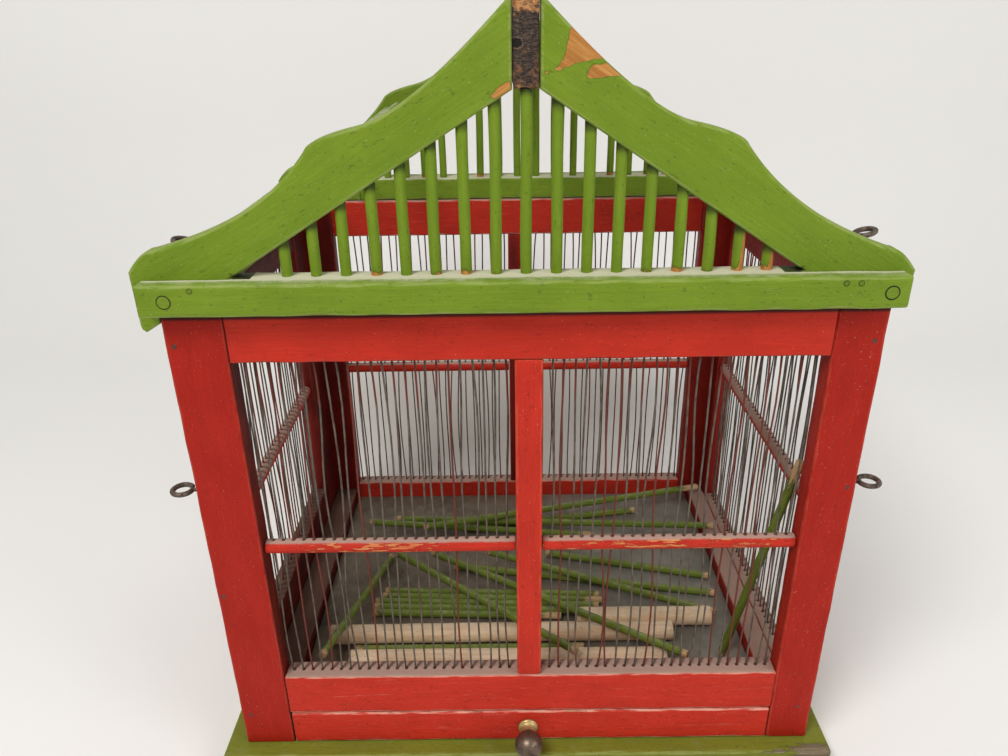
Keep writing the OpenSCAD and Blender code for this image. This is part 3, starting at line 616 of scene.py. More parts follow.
def stick(nodeName, material, body="cage", axis=None, rounding=1.3, inner=(3, 3), dust=0.0,
          bare=None, extra=(), shape=None, wobble=0.12, step=9.0, roughen=0.0, jointsAndShade=None):
    # a rounded rectangle carried along the grain, a little uneven, with eased ends
    rng = seedOf(nodeName)
    low, high = boxOf(nodeName)
    if axis is None:
        axis = int(np.argmax(high - low))
    b, c = (axis + 1) % 3, (axis + 2) % 3
    along, inset = endStations(high[axis] - low[axis], rounding, step, extra)
    shift = wobble * np.stack([1 + waver(along, rng, 120) for _ in range(4)], -1)
    lows = low[[b, c]] + shift[:, :2] + inset[:, None]
    highs = high[[b, c]] - shift[:, 2:] - inset[:, None]
    if shape:
        lows, highs = shape(along + low[axis], lows, highs)
    radius = np.stack([rounding * (1 + 0.5 * waver(along, rng, 45)) for _ in range(4)], -1)
    radius = np.clip(radius - inset[:, None], 0.15, (highs - lows).min(1, keepdims=True) * 0.48)
    section, edge, normal = roundedSection(lows, highs, radius, inner)
    size = (len(along), section.shape[1])
    rings = np.zeros((*size, 3))
    rings[..., axis] = (along + low[axis])[:, None]
    rings[..., [b, c]] = section
    outward = np.zeros((size[1], 3))
    outward[:, [b, c]] = normal
    if roughen:
        bumpy = (waver(rings[..., 0] + rings[..., 1] * 0.7, rng, 9)
                 * waver(rings[..., 2] + rings[..., 1], rng, 7))
        rings -= roughen * np.abs(bumpy)[..., None] * np.sign(outward)
    dusty = (dust(rings) if callable(dust) else dust) * smooth(outward[:, 2], 0.3, 0.95)
    fields = {"grain": rings[..., [axis, b, c]] + rng.uniform(-900, 900, 3),
              "edge": np.maximum(np.broadcast_to(edge, size), (inset > 0)[:, None] * 1.0),
              "dust": np.broadcast_to(dusty, size) * (inset == 0)[:, None],
              "bare": bare(rings) if bare else np.full(size, -1.0),
              "jointsAndShade": jointsAndShade(rings, outward) if jointsAndShade else np.zeros(size)}
    loft(nodeName + "_wood", rings[None], {key: values[None] for key, values in fields.items()},
         material, body, [nodeName])


def rods(name, starts, ends, diameter, material, body, stands, bend=0.6, sides=12, step=9.0, ease=0.6,
         dust=0.0, bare=None, jointsAndShade=None, crown=0.2):
    # a circle carried along each slightly bent line from start to end
    rng = seedOf(name)
    starts, ends = np.atleast_2d(starts).astype(float), np.atleast_2d(ends).astype(float)
    count = len(starts)
    length = np.linalg.norm(ends - starts, axis=1)
    along, inset = endStations(float(length.max()), ease, step)
    t = along / length.max()
    direction = (ends - starts) / length[:, None]
    steady = np.where(np.abs(direction[:, 2:]) > 0.8, [[1.0, 0, 0]], [[0, 0, 1.0]])
    side = np.cross(direction, steady)
    side /= np.linalg.norm(side, axis=1, keepdims=True)
    other = np.cross(direction, side)
    bow = bend * rng.normal(0, 0.6, (count, 2, 1)) * np.sin(np.pi * t)
    bow += bend * 0.5 * rng.normal(0, 0.6, (count, 2, 1)) * np.sin(2 * np.pi * t)
    path = (starts[:, None] + (ends - starts)[:, None] * t[:, None]
            + bow[:, 0, :, None] * side[:, None] + bow[:, 1, :, None] * other[:, None])
    phase = rng.uniform(0, 500, (count, 1))
    radius = (diameter / 2 - inset) * (1 + 0.02 * (waver(along + phase, rng, 60) - 1))
    cosines, sines = circle(sides)
    outward = cosines[:, None] * side[:, None, None] + sines[:, None] * other[:, None, None]
    rings = path[:, :, None] + radius[..., None, None] * outward
    shape = rings.shape[:3]
    place = stacked((t * length.max() + phase * 9)[..., None], radius[..., None] * cosines + phase[..., None],
                    radius[..., None] * sines)
    up = np.broadcast_to(outward[..., 2], shape)
    number = np.broadcast_to(np.arange(count)[:, None, None], shape)
    fields = {"grain": place, "edge": np.broadcast_to((inset > 0)[:, None] * 1.0, shape),
              "dust": dust * smooth(up, crown, 0.95),
              "bare": bare(rings, number) if bare else np.full(shape, -1.0),
              "jointsAndShade": jointsAndShade(rings, number) if jointsAndShade else np.zeros(shape)}
    loft(name, rings, fields, material, body, stands)


wornCorner = {"place": (214, -160), "reach": (34, 9)}


def cornerWorn(rings):
    x, y = ((rings[..., k] - wornCorner["place"][k]) / wornCorner["reach"][k] for k in (0, 1))
    return 0.55 - np.hypot(x, y)


def insideShade(across):
    # painted shade on the faces that look into the cage, deepest on the left, and on undersides
    def inside(rings, outward):
        side = np.where(rings[..., 0] < 0, 0.9, np.where(rings[..., 1] < -100, 0.15, 0.6))
        inX = -outward[:, 0] * np.sign(rings[..., 0]) * (np.abs(rings[..., 0]) > 20)
        inY = -outward[:, 1] * np.sign(rings[..., 1] - midY)
        dark = np.maximum(side * smooth(inX, 0.4, 0.9), across * side * smooth(inY, 0.4, 0.9))
        return np.maximum(dark, 0.6 * smooth(-outward[:, 2], 0.4, 0.9))
    return inside


railShade, postShade = insideShade(0.12), insideShade(0.85)


def guideShade(rings, outward):
    # the left guide and board lie in shade and look browner: painted shade darkens the tops, most on the left
    onTop = np.where(rings[..., 0] < 0, 0.55, 0.15) * smooth(outward[:, 2], 0.4, 0.9)
    return np.maximum(railShade(rings, outward), onTop)


stick("base_board", greenBase, inner=(16, 2), dust=0.3, rounding=1.6, bare=cornerWorn)
for nodeName in ("front_stile_left", "front_stile_right"):
    stick(nodeName, redPost, inner=(4, 3), jointsAndShade=railShade)
stick("front_top_rail", headLedge, inner=(2, 5), dust=0.2, jointsAndShade=railShade)
stick("front_bottom_rail", ledges["front"], inner=(2, 5), dust=0.85, jointsAndShade=railShade)
stick("front_mullion", redPaint, inner=(2, 2), jointsAndShade=railShade)
for nodeName in ("back_stile_left", "back_stile_right", "back_mullion"):
    stick(nodeName, redPost, jointsAndShade=postShade)
for nodeName in ("back_top_rail", "back_bottom_rail"):
    stick(nodeName, ledges["back"], dust=0.8, inner=(2, 4), jointsAndShade=railShade)
for side in ("left", "right"):
    for end in ("front", "back"):
        stick(f"{side}_stile_{end}", redPost, jointsAndShade=postShade)
    stick(f"{side}_top_rail", ledges[side], dust=0.3, jointsAndShade=railShade)
    stick(f"{side}_board", ledges[side], dust=0.9, jointsAndShade=guideShade)
    stick(f"tray_guide_{side}", redShade if side == "left" else redPaint, dust=0.9, jointsAndShade=guideShade)
print("body frames built")

stick("drawer_front", redDrawer, "drawer", inner=(2, 3), dust=0.5)
stick("tray_board", trayWood, "drawer", axis=0, inner=(10, 1))
for side in ("left", "right"):
    stick(f"tray_batten_{side}", trayWood, "drawer")
stick("tray_sheet", traySheet, "drawer", inner=(20, 0), rounding=0.2, dust=0.5, wobble=0.02)

knob = {"ball": 20.0, "reach": 27.0, "neck": 5.0, "flange": 7.2, "flangeD": 2.2, "waist": 0.86, "waistD": 3.2,
        "around": 32}


def bend2(a, b, c, t):
    # quadratic curve from a to c, pulled towards b
    a, b, c, t = np.array(a), np.array(b), np.array(c), t[:, None]
    return (1 - t) ** 2 * a + 2 * t * (1 - t) * b + t * t * c


def turnedKnob():
    # a profile of radius against distance, turned round the Y axis: flange, waisted neck, ball
    low, high = boxOf("drawer_knob")
    middle = (low + high) / 2
    ballR, neck = knob["ball"] / 2, knob["neck"]
    ballC = knob["reach"] - ballR
    meet = math.acos(neck / ballR)
    waist = bend2((knob["flange"], knob["flangeD"]), (neck * knob["waist"], knob["waistD"]),
                  (neck, ballC - ballR * math.sin(meet)), np.linspace(0, 1, 9))
    a = np.linspace(-meet, np.pi / 2 - 0.06, 22)[1:]
    radius = np.concatenate([[knob["flange"] - 0.6, knob["flange"]], waist[:, 0], ballR * np.cos(a)])
    distance = np.concatenate([[0, 0.6], waist[:, 1], ballC + ballR * np.sin(a)])
    cosines, sines = circle(knob["around"])
    rings = stacked(middle[0] + radius[:, None] * cosines, low[1] + knob["reach"] - distance[:, None],
                    middle[2] + radius[:, None] * sines)
    polish = smooth(distance, ballC - ballR * 0.75, ballC - ballR)[:, None]
    loft("drawer_knob_turned", rings[None],
         {"grain": rings[None], "polish": np.broadcast_to(polish, rings.shape[:2])[None]},
         oldBrass, "drawer", ["drawer_knob"])


turnedKnob()
print("drawer built")


def wires(nodeName, across, axis, line, barZ):
    # each wire is a thin tube that bows a little between rail, crossbar and rail
    rng = seedOf(nodeName)
    low, high = boxOf(nodeName)
    each = (len(across), 1, 1)
    lower, upper = (np.linspace(a, b, wire["stations"]) for a, b in ((low[2], barZ), (barZ, high[2])))
    z = np.concatenate([lower, upper[1:]])
    above = z >= barZ
    t = np.pi * np.clip(np.where(above, (z - barZ) / (high[2] - barZ), (z - low[2]) / (barZ - low[2])), 0, 1)
    path = np.zeros((len(across), len(z), 3))
    path[..., axis], path[..., 1 - axis], path[..., 2] = across[:, None], line, z
    for k, size in ((axis, wire["bow"]), (1 - axis, wire["bow"] * 0.6)):
        bowLow, bowHigh, turnLow, turnHigh = rng.normal(0, size, (4, len(across), 1))
        path[..., k] += (np.where(above, bowHigh, bowLow * 0.8) * np.sin(t)
                         + 0.4 * np.where(above, turnHigh, turnLow * 0.5) * np.sin(2 * t))
    cosines, sines = circle(wire["sides"])
    rings = path[:, :, None] + stacked(cosines, sines, 0.0) * wire["diameter"] / 2
    painted = rng.uniform(0, 1, each) < wire["painted"]
    top = smooth(z, high[2] - 60, high[2] - 20)[:, None] * rng.uniform(0.2, 1, each)
    grain = stacked(z[:, None] + rng.uniform(0, 900, each), cosines * 0.8 + rng.uniform(0, 90, each),
                    sines * 0.8)
    bare = np.broadcast_to(np.maximum(painted * 0.9, top), rings.shape[:3])
    loft(nodeName + "_wavy", rings, {"grain": grain, "bare": bare}, wireMetal, "cage", [nodeName])


for face in ("front", "back"):
    for side, across in zip(("left", "right"), wireRows(face)):
        wires(f"{face}_wires_{side}", across, 0, wireLine[face], middleOf("front_bar_left", 2))
for side in ("left", "right"):
    wires(f"{side}_wires", sideRow(side), 1, wireLine[side], middleOf(f"{side}_bar", 2))


def crossbar(nodeName, material, crown, worn=None):
    low, high = boxOf(nodeName)
    start = (low + high) / 2
    end, axis = start.copy(), int(np.argmax(high - low))
    start[axis], end[axis] = low[axis], high[axis]
    rods(nodeName + "_round", start, end, 10, material, "cage", [nodeName], bend=0.2, sides=24, step=4,
         ease=1.2, dust=0.9, bare=worn, crown=crown)


def wornBar(centre, reach):
    return lambda rings, number: -0.6 * (np.abs(rings[..., 0] - centre) / reach) ** 2


crossbar("front_bar_left", bars["front"], 0.5, wornBar(-100, 60))
crossbar("front_bar_right", bars["front"], 0.5, wornBar(100, 110))
for side in ("left", "right"):
    crossbar(f"back_bar_{side}", bars["back"], 0.45)
for side in ("left", "right"):
    crossbar(f"{side}_bar", bars[side], -0.6)
print("wires and crossbars built")

ridgeX = 1.0
roofZ = float(boxOf("front_gable_rail")[0][2])
gable = {"knee": (113.0, 92.5), "apexZ": 161.0, "innerTopZ": 116.5, "railH": 19.0, "boardX": 7.2,
         "tail": 13.0, "lowX": 211.3, "footReach": 10.8, "tailed": {"tip": (223.4, 23.0), "corner": 166.0},
         "plain": {"tip": (218.1, 18.4), "corner": 155.0}}


def shapeOf(face, side):
    # the front left and back right boards hang past the body's top, the other two don't
    return gable["tailed" if face * side > 0 else "plain"]


def roofLine(shape):
    # from the apex down to the knee, round it, and out to the tip, as X and height
    knee, tip = np.array(gable["knee"]), np.array(shape["tip"])
    start, end, shoulder = knee + [-23, 6.5], knee + [3, -3], tip + [-14.5, 12]
    apex = (gable["boardX"], gable["apexZ"])
    return np.concatenate([bend2(apex, start + [-28, 6], start, np.linspace(0, 1, 26)),
                           bend2(start, knee + [-2, 2], end, np.linspace(0, 1, 12)[1:]),
                           bend2(end, end + [27, -38], shoulder, np.linspace(0, 1, 26)[1:]),
                           bend2(shoulder, tip + [-9, 12.2], tip, np.linspace(0, 1, 10)[1:])])


def innerZ(x, shape):
    # height of the opening's straight edge
    slope = (gable["innerTopZ"] - gable["railH"]) / (shape["corner"] - gable["boardX"])
    return gable["railH"] + (shape["corner"] - np.abs(x)) * slope


barePatches = {
    "front_board_right": [[(21.4, 142.6), (25.1, 144.0), (39.5, 131.4), (25.0, 128.5), (12.5, 123.8),
                           (18.8, 130.8)],
                          [(32.5, 127.4), (41.0, 128.6), (48.5, 122.4), (30.0, 121.3)],
                          [(9.5, 125.2), (12.2, 126.2), (11.2, 122.6)]],
    "front_board_left": [[(7.6, 117.2), (8.5, 120.8), (13, 118.5), (18, 114.5), (20, 111.8), (15, 112.6),
                          (10, 115.6)]]}


def insideField(x, z, polygon):
    # distance into a polygon: positive inside, negative outside
    corner = np.array(polygon)
    following = np.roll(corner, -1, 0)
    run = following - corner
    dx, dz = x[..., None] - corner[:, 0], z[..., None] - corner[:, 1]
    share = np.clip((dx * run[:, 0] + dz * run[:, 1]) / (run ** 2).sum(1), 0, 1)
    gap = np.hypot(dx - share * run[:, 0], dz - share * run[:, 1]).min(-1)
    level = np.where(run[:, 1] == 0, 1e-9, run[:, 1])
    crossed = (corner[:, 1] > z[..., None]) != (following[:, 1] > z[..., None])
    crossed &= x[..., None] < run[:, 0] * (z[..., None] - corner[:, 1]) / level + corner[:, 0]
    return np.where(crossed.sum(-1) % 2 == 1, gap, -gap)


def spread(corners, counts):
    # points along a closed outline: each edge is cut into its count of equal parts
    edges = zip(corners, np.roll(corners, -1, 0), counts)
    return np.concatenate([a + (b - a) * (np.arange(n) / n)[:, None] for a, b, n in edges])


def inwards(outline):
    # the mean of the two neighbouring edges' normals, stretched so that it moves both edges by one
    ahead = np.roll(outline, -1, 0) - outline
    normal = np.stack([-ahead[:, 1], ahead[:, 0]], -1) / np.linalg.norm(ahead, axis=1, keepdims=True)
    before = np.roll(normal, 1, 0)
    return (normal + before) / (1 + (normal * before).sum(1, keepdims=True))


def plate(outline, thick, rounding, spacing):
    # a flat board: quarter-circle arrises round the outline, and two faces of small triangles
    length = np.linalg.norm(np.roll(outline, -1, 0) - outline, axis=1)
    counts = np.maximum(1, np.ceil(length / spacing)).astype(int)
    n = counts.sum()
    move = inwards(outline)
    turn = np.radians([0, 30, 60, 90])
    rings, depths = [], []
    for sign in (1, -1):
        for a in (turn if sign < 0 else turn[::-1]):
            rings.append(spread(outline + move * rounding * (1 - math.cos(a)), counts))
            depths.append(np.full(n, -sign * (thick / 2 - rounding + rounding * math.sin(a))))
    flat = rings[0]
    columns, lines = (np.arange(low, high, spacing) for low, high in zip(flat.min(0), flat.max(0)))
    grid = np.stack(np.meshgrid(columns, lines), -1).reshape(-1, 2)
    grid = grid[insideField(grid[:, 0], grid[:, 1], flat) > spacing * 0.45]
    corners = [Vector(v) for v in np.concatenate([flat, grid]).tolist()]
    found = delaunay_2d_cdt(corners, [], [list(range(n))], 1, 1e-6)
    first = np.array([v[0] for v in found[3]])
    m, base = len(grid), 8 * n
    points = np.concatenate([np.concatenate(rings), grid, grid])
    depth = np.concatenate(depths + [np.full(m, -thick / 2), np.full(m, thick / 2)])
    index = np.arange(base).reshape(8, n)
    here, there = index[:-1], index[1:]
    quads = np.stack([here, there, np.roll(there, -1, 1), np.roll(here, -1, 1)], -1).reshape(-1, 4).tolist()
    caps = first[np.array([list(f) for f in found[2]])]
    front = np.where(caps < n, caps, caps - n + base)
    back = np.where(caps < n, caps + 7 * n, caps - n + base + m)
    edge = np.concatenate([np.ones(base), np.zeros(2 * m)])
    up = np.concatenate([np.tile(-spread(move, counts)[:, 1], 8), np.zeros(2 * m)])
    return points, depth, quads + front.tolist() + back[:, ::-1].tolist(), edge, up


def boardOutline(shape):
    # the roof line, the tail or the plain end, the foot behind the rail, and the straight edge of the opening
    tip, corner = np.array(shape["tip"]), shape["corner"]
    railH, tail, lowX = gable["railH"], gable["tail"], gable["lowX"]
    foot = corner - gable["footReach"]
    if shape is gable["tailed"]:
        end = [(tip[0] - 0.5, 4 - tail), (tip[0] - 1.2, 1.6 - tail), (tip[0] - 3.4, -tail),
               (lowX, -0.6 * tail), (lowX, 0)]
    else:
        end = [tip + [-0.7, -6], tip + [-4, -tip[1]]]
    opening = [(foot, 0), (foot, railH), (corner, railH), (gable["boardX"], gable["innerTopZ"])]
    return np.concatenate([roofLine(shape), end, opening])[::-1]


def gableBoard(nodeName, face, side):
    rng = seedOf(nodeName)
    shape, railH = shapeOf(face, side), gable["railH"]
    low, high = boxOf(nodeName)
    flat, depth, faces, edge, up = plate(boardOutline(shape), high[1] - low[1], 1.5, 1.6 if face < 0 else 2.4)
    x, z = flat.T
    uneven = (1 + waver(x + z * 0.4, rng, 50) * waver(z, rng, 30)) / 2
    depth = depth - np.sign(depth) * 0.25 * uneven
    slope = math.atan2(innerZ(0, shape) - railH, shape["corner"])
    c, s = math.cos(slope), math.sin(slope)
    bare = np.full(len(x), -1.0)
    for polygon in barePatches.get(nodeName, []):
        bare = np.maximum(bare, np.clip(insideField(x, z, polygon) / 2.5 + 0.02, -1, 1))
    # painted shade: a dark wedge at the board's lowest inner corner, in the gap just above the rail
    along = x - (shape["corner"] - 15)
    lowest = smooth(railH + 0.5 + along * 0.13 - z, -0.6, 0.8) * (z > railH - 1)
    gap = smooth(along, 0, 6) * (along < 15.5) * lowest
    points = np.stack([ridgeX + side * x, (low[1] + high[1]) / 2 - face * depth, z + roofZ], -1)
    if face * side > 0:
        faces = [f[::-1] for f in faces]
    fields = {"grain": np.stack([x * c - z * s, depth, x * s + z * c], -1) + rng.uniform(-900, 900, 3),
              "edge": edge, "dust": 0.25 * smooth(up, 0.3, 0.95), "bare": np.where(depth > 0, -1, bare),
              "jointsAndShade": gap}
    makePiece(nodeName + "_wood", points, faces, fields, greenPaint, "roof", [nodeName])


gables, sides = (("front", -1), ("back", 1)), (("left", -1), ("right", 1))
for end, face in gables:
    for side, sign in sides:
        gableBoard(f"{end}_board_{side}", face, sign)


def notchX(face, side):
    # where the gable rail's back half ends
    return ridgeX + side * (shapeOf(face, side)["corner"] - gable["footReach"] - 0.2)


def rebated(face):
    def shape(x, lows, highs):
        outer = (x < notchX(face, -1)) | (x > notchX(face, 1))
        if face < 0:
            highs[outer, 0] = boxOf("front_board_left")[0][1] - 0.2
        else:
            lows[outer, 0] = boxOf("back_board_left")[1][1] + 0.2
        return lows, highs
    return shape


def railDust(rings):
    # thick beside the boards and thin towards the outer edge
    outwards = np.abs(rings[..., 1] - midY)
    return 1.05 - 0.62 * smooth(outwards, 155.5, 163) - 0.25 * smooth(outwards, 166, 168.3)


for end, face in gables:
    start = boxOf(f"{end}_gable_rail")[0][0]
    steps = [notchX(face, side) - start + d for side in (-1, 1) for d in (-0.05, 0.05)]
    stick(f"{end}_gable_rail", greenPaint, "roof", axis=0, inner=(5, 3), rounding=1.5, dust=railDust,
          extra=steps, shape=rebated(face), step=6)
for side, sign in sides:
    stick(f"eave_rail_{side}", greenPaint, "roof", dust=0.5)
stick("ridge_beam", charred, "roof", inner=(2, 6), rounding=1.8, step=4, dust=0.3, roughen=0.7)

rodD = 6.5
spindle = {"eachSide": 8, "pitch": 16.95, "seat": 7.0,
           "wornFeet": (0.1, 0.2, 0.0, 0.55, 0.2, 0.4, 0.6, 0.3, 0.0, 0.2, 0.1, 0.0, 0.4, 0.6, 0.3, 0.5, 0.6)}


def spindles(end, face):
    i = np.arange(-spindle["eachSide"], spindle["eachSide"] + 1)
    x = i * spindle["pitch"]
    top = np.where(x * face > 0, innerZ(x, gable["tailed"]), innerZ(x, gable["plain"]))
    top = np.where(i == 0, gable["innerTopZ"], top) + spindle["seat"] - 1
    y = np.mean([corner[1] for corner in boxOf(f"{end}_spindles")])
    starts = stacked(ridgeX + x, y, roofZ + gable["railH"] - spindle["seat"])
    ends = stacked(ridgeX + x, y, roofZ + top)
    wornFeet = np.array(spindle["wornFeet"])

    def worn(rings, number):
        above = rings[..., 2] - roofZ - gable["railH"]
        rubbed = (number > 14) * smooth(rings[..., 0] - x[number] - ridgeX, -0.3, 1.2)
        return wornFeet[number] * 0.9 - 0.25 + 0.9 * rubbed - np.clip(above, 0, 99) / (9 + 17 * rubbed)

    # painted shade on the top of each spindle, where it goes up behind the board's edge
    def buried(rings, number):
        return 0.9 * smooth(rings[..., 2], ends[number, 2] - 11, ends[number, 2] - 6.5)

    rods(f"{end}_spindles_round", starts, ends, rodD, greenRod, "roof", [f"{end}_spindles"],
         bend=0.35, sides=16, step=3, bare=worn, jointsAndShade=buried)


def turned(name, places, face, profile, material, body, stands=()):
    # radius against distance from the face, turned round a line along Y; each row is distance, radius, and
    # the darkening of a crack
    distance, radius, jointsAndShade = np.array(profile, float).T[:, :, None]
    cosines, sines = circle(20)
    x, y, z = np.array(places, float).T[:, :, None, None]
    rings = stacked(x + radius * cosines, y - face * distance, z + face * radius * sines)
    shape = rings.shape[:3]
    fields = {"grain": rings * [1, 1, 3], "jointsAndShade": np.broadcast_to(jointsAndShade, shape), "bare": np.full(shape, -1.0)}
    loft(name, rings, fields, material, body, stands)


def pegs(end, face):
    # flat ends in the rail's face, with a crack round each
    low, high = boxOf(f"{end}_pegs")
    out = high[1] if face > 0 else low[1]
    places = [(x, out, (low[2] + high[2]) / 2) for x in (low[0] + 4, high[0] - 4)]
    profile = [(-0.12, 1.5, 0), (-0.12, 3.3, 0), (-0.06, 3.6, 1), (-0.03, 4.2, 1), (0.5, 4.3, 1),
               (high[1] - low[1], 4, 0)]
    turned(f"{end}_pegs_round", places, face, profile, greenPaint, "roof", [f"{end}_pegs"])


for end, face in gables:
    spindles(end, face)
    pegs(end, face)

nails = {"head": [(-0.25, 0.5, 0), (-0.2, 1.3, 0), (0.0, 1.75, 0), (1.2, 1.7, 0)],
         "hole": [(-0.1, 0.5, 0.2), (-0.1, 1.1, 0.2), (-0.05, 1.35, 0.7), (-0.02, 1.8, 0.7), (0.6, 1.8, 0)],
         "roofY": -161.4, "roof": ((-184.6, 376.1), (175.8, 375.6), (184, 375.5)), "bodyY": -148.85,
         "body": ((-204.8, 338.4), (-205.7, 154.7), (-203.3, 44.7), (203.6, 336.4), (204.5, 236.2),
                  (199.3, 47))}
for body, kind, material in (("roof", "hole", greenPaint), ("body", "head", rustyIron)):
    places = [(x, nails[body + "Y"], z) for x, z in nails[body]]
    turned(body + "_nails", places, -1, nails[kind], material, "roof" if body == "roof" else "cage")

roofRods = {"places": 17, "first": 24.0, "pitch": 9.0, "inset": 13.0,
            "gone": {"left": (2, 3, 6, 7, 8, 12, 13, 15, 16), "right": (1, 4, 5, 9, 10, 11, 14, 15)}}
roofLines = [roofLine(gable[key]) for key in ("tailed", "plain")]
for side, sign in sides:
    low, high = boxOf(f"roof_rods_{side}")
    left = np.setdiff1d(np.arange(roofRods["places"]), roofRods["gone"][side])
    x = roofRods["first"] + left * roofRods["pitch"]
    z = roofZ + np.min([np.interp(x, line[:, 0], line[:, 1]) for line in roofLines], 0) - roofRods["inset"]
    starts, ends = (stacked(ridgeX + sign * x, y, z) for y in (low[1], high[1]))
    rods(f"roof_rods_{side}_round", starts, ends, rodD, greenRod, "roof", [f"roof_rods_{side}"], dust=0.5)

eye = {"ring": 16.0, "wire": 3.4, "shank": 9.0, "thinner": 0.6, "turn": 335, "bodyAt": (210.0, -140.0, 235.0),
       "bodyNeck": 4, "roofAt": (201.0, -79.0, 18.0), "roofNeck": 9.5, "roofTilt": 15}


def screwEyes(name, body, places, neck, tilt):
    # a wire path: straight shank, then a nearly whole turn of ring in the flat
    ringR = (eye["ring"] - eye["wire"]) / 2
    a = np.radians(np.linspace(180, 180 + eye["turn"], 30))
    shank = np.linspace(-eye["shank"], neck + eye["wire"] / 2 - 1, 6)
    path = np.stack([np.concatenate([shank, neck + eye["ring"] / 2 + ringR * np.cos(a)]),
                     np.concatenate([0 * shank, ringR * np.sin(a)])], -1)
    tangent = np.gradient(path, axis=0)
    tangent /= np.linalg.norm(tangent, axis=1, keepdims=True)
    radius = np.full(len(path), eye["wire"] / 2)
    radius[:6] = (eye["wire"] - eye["thinner"]) / 2
    radius[[0, -1]] *= 0.6
    across = np.stack([tangent[:, 1], -tangent[:, 0]], -1)
    cosines, sines = circle(10)
    flat = path[:, None] + radius[:, None, None] * cosines[:, None] * across[:, None]
    z = radius[:, None] * sines
    c, s = math.cos(math.radians(tilt)), math.sin(math.radians(tilt))
    local = np.stack([flat[..., 0] * c - z * s, flat[..., 1], flat[..., 0] * s + z * c], -1)
    mirrored = (local * [-1, 1, 1])[:, ::-1]
    rings = np.stack([mirrored + np.array(places[0]), local + np.array(places[1])])
    loft(name + "_bent", rings, {"grain": rings}, oldIron, body, [name], flip=True)


x, y, z = eye["bodyAt"]
screwEyes("body_screw_eyes", "cage", [(s * x, y, z) for s in (-1, 1)], eye["bodyNeck"], 0)
x, y, z = eye["roofAt"]
screwEyes("roof_screw_eyes", "roof", [(ridgeX + s * x, y, roofZ + z) for s in (-1, 1)], eye["roofNeck"],
          eye["roofTilt"])
print("roof built")

# each end of a loose thing is its share across the tray (-1 to 1), its Y, and its height over the tray
perchD = 16.0
tray = {"mid": 3.0, "half": 176.4, "top": float(boxOf("tray_sheet")[1][2]), "front": -133.0, "back": 149.0,
        "gap": 0.3, "slant": 7.5}


def trayPlace(places, diameter):
    p = np.array(places, float)
    return np.stack([tray["mid"] + p[:, 0] * tray["half"], p[:, 1], tray["top"] + p[:, 2] + diameter / 2], -1)


onTray, onRod, onPerch = (thick + gaps * tray["gap"] for thick, gaps in ((0, 1), (rodD, 2), (perchD, 2)))
front, back = tray["front"], tray["back"]
perchFirst = front + 33.5
perchSecond = perchFirst + 5.5 + perchD + onRod
perchThird = perchSecond + perchD + 1.3
between = perchSecond - perchD / 2 - onRod / 2
rowEnds = ((-0.75, 0.17), (-0.75, 0.51), (-0.75, 0.36), (-0.72, 0.38), (-0.71, 0.37))
rowY = perchThird + perchD / 2 + 0.8 + np.arange(len(rowEnds)) * onRod
last = rowY[-1]
overGuide = (188 - tray["mid"]) / tray["half"]
starts, ends = ([(e[k], y - e[k] * tray["slant"], onTray) for e, y in zip(rowEnds, rowY)] for k in (0, 1))
starts += [(-0.9, front + 20, onPerch + 6.4), (-0.79, between, onTray), (-0.68, last + 51, onRod),
           (-0.49, last + 51, onRod), (-0.2, last + 43, 2 * onRod), (-0.37, last + 39.5, onTray),
           (0.12, last + 57.5, onTray), (-0.87, back - 63, onRod), (-0.33, back - 64, onTray),
           (-0.72, back - 58, onRod), (-0.55, back - 88, 2.5 * onRod)]
ends += [(-0.715, front + 172, onTray), (0.26, between, onTray), (0.21, front + 21, onPerch + onRod),
         (0.69, front + 18, onPerch + 5), (0.92, last - 27, onTray), (0.95, last - 2.5, onTray),
         (0.95, last + 21, onTray), (0.4, back - 80, onTray), (0.66, back - 37.5, onTray),
         (overGuide, back - 86, 2 * onRod), (overGuide, back - 16, 2 * onRod)]
perchStarts = [(-0.92, perchSecond, onTray), (0.24, perchThird + 1, onTray), (-0.8, perchFirst, onTray)]
perchEnds = [(0.68, perchSecond + 1, onTray), (0.88, perchThird + 0.5, onTray), (0.62, perchFirst, onTray)]


def wornEnds(rings, number):
    # bare for a few millimetres at both ends, and for longer at one end of every third rod
    fromStart = np.linalg.norm(rings - rings[:, :1], axis=-1)
    fromEnd = np.linalg.norm(rings - rings[:, -1:], axis=-1)
    return 0.35 - np.minimum(fromStart, fromEnd / (1 + 2.5 * (number % 3 == 0))) / 16


rods("loose_rods_round", trayPlace(starts, rodD), trayPlace(ends, rodD), rodD, looseGreen, "cage",
     ["loose_rods"], bend=0.25, dust=0.42, bare=wornEnds)
rods("loose_perches_round", trayPlace(perchStarts, perchD), trayPlace(perchEnds, perchD), perchD, perchWood,
     "cage", ["loose_perches"], bend=0.2, sides=24, step=6, ease=1.0, dust=0.5)
leaning = {"foot": (159, 43.5), "rise": 187, "head": (196 - rodD / 2 - 0.8, 30), "gap": 0.8}
footZ = tray["top"] + leaning["gap"]
foot = (leaning["foot"][0], front + leaning["foot"][1], footZ)
head = (leaning["head"][0], front + leaning["head"][1], footZ + leaning["rise"])
rods("leaning_rod_round", foot, head, rodD, looseGreen, "cage", ["leaning_rod"], bend=0.3, dust=0.1,
     bare=wornEnds)
print("loose rods and perches built")

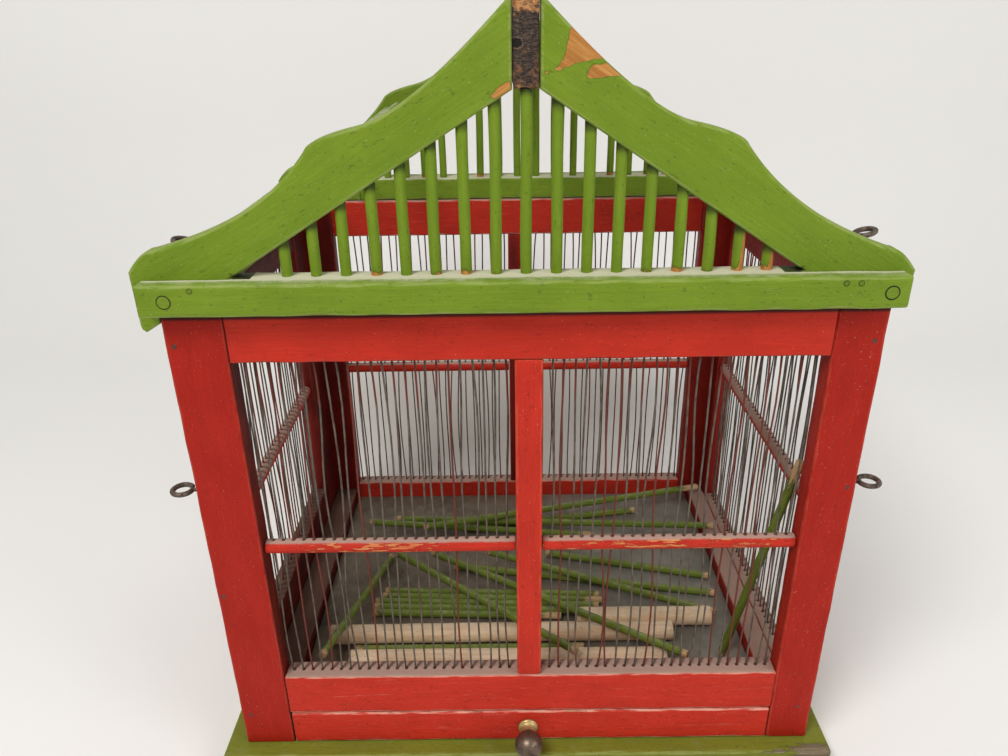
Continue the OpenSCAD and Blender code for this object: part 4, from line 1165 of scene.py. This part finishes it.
# dim is the colour of the painted shadow on the floor behind the cage
stage = {"floor": (0.86, 0.855, 0.84), "dim": (0.42, 0.39, 0.36), "dimMove": (0.02, -0.5, 0),
         "dimScale": (2.5, 2.0, 1.0), "half": 4.5, "front": (-3.6, -1.0), "back": 0.62, "rise": 0.35,
         "top": 4.0}


def sweepMaterial():
    # pale, with a painted shadow of the cage as a dark ellipse in the floor, and clear when seen from behind
    material = bpy.data.materials.new("paleBackdrop")
    material.use_nodes = True
    tree = material.node_tree
    shader = tree.nodes["Principled BSDF"]
    place = Node(tree, "TexCoord")["Object"]
    moved = Node(tree, "VectorMath", {0: place, 1: stage["dimMove"]}, operation="ADD")[0]
    away = Node(tree, "VectorMath", {0: moved.stretched(*stage["dimScale"])}, operation="LENGTH")["Value"]
    join(tree, mixed(away.step(1.0, 0.3), stage["floor"], stage["dim"]), shader.inputs["Base Color"])
    shader.inputs["Roughness"].default_value = 0.9
    shown = Node(tree, "MixShader", {0: Node(tree, "NewGeometry")["Backfacing"],
                                     1: Value(tree, shader.outputs[0]), 2: Node(tree, "BsdfTransparent")[0]})
    join(tree, shown[0], tree.nodes["Material Output"].inputs["Surface"])
    return material


def sweepBackdrop():
    # floor, a quarter circle and a wall behind, carried sideways
    a, r, back = np.linspace(0, np.pi / 2, 14), stage["rise"], stage["back"]
    y = np.concatenate([stage["front"], back + r * np.sin(a), [back + r]])
    z = np.concatenate([[0, 0], r - r * np.cos(a), [stage["top"]]])
    points = stacked(np.array([[-stage["half"]], [stage["half"]]]), y, z).reshape(-1, 3)
    index = np.arange(len(points)).reshape(2, -1)
    quads = np.stack([index[0, :-1], index[1, :-1], index[1, 1:], index[0, 1:]], -1)
    mesh = bpy.data.meshes.new("backdrop")
    mesh.from_pydata(points.tolist(), [], quads.tolist())
    mesh.shade_smooth()
    mesh.materials.append(sweepMaterial())
    backdrop = bpy.data.objects.new("backdrop", mesh)
    bpy.context.collection.objects.link(backdrop)
    backdrop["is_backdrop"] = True


sweepBackdrop()
print("backdrop built")

low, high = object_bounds()
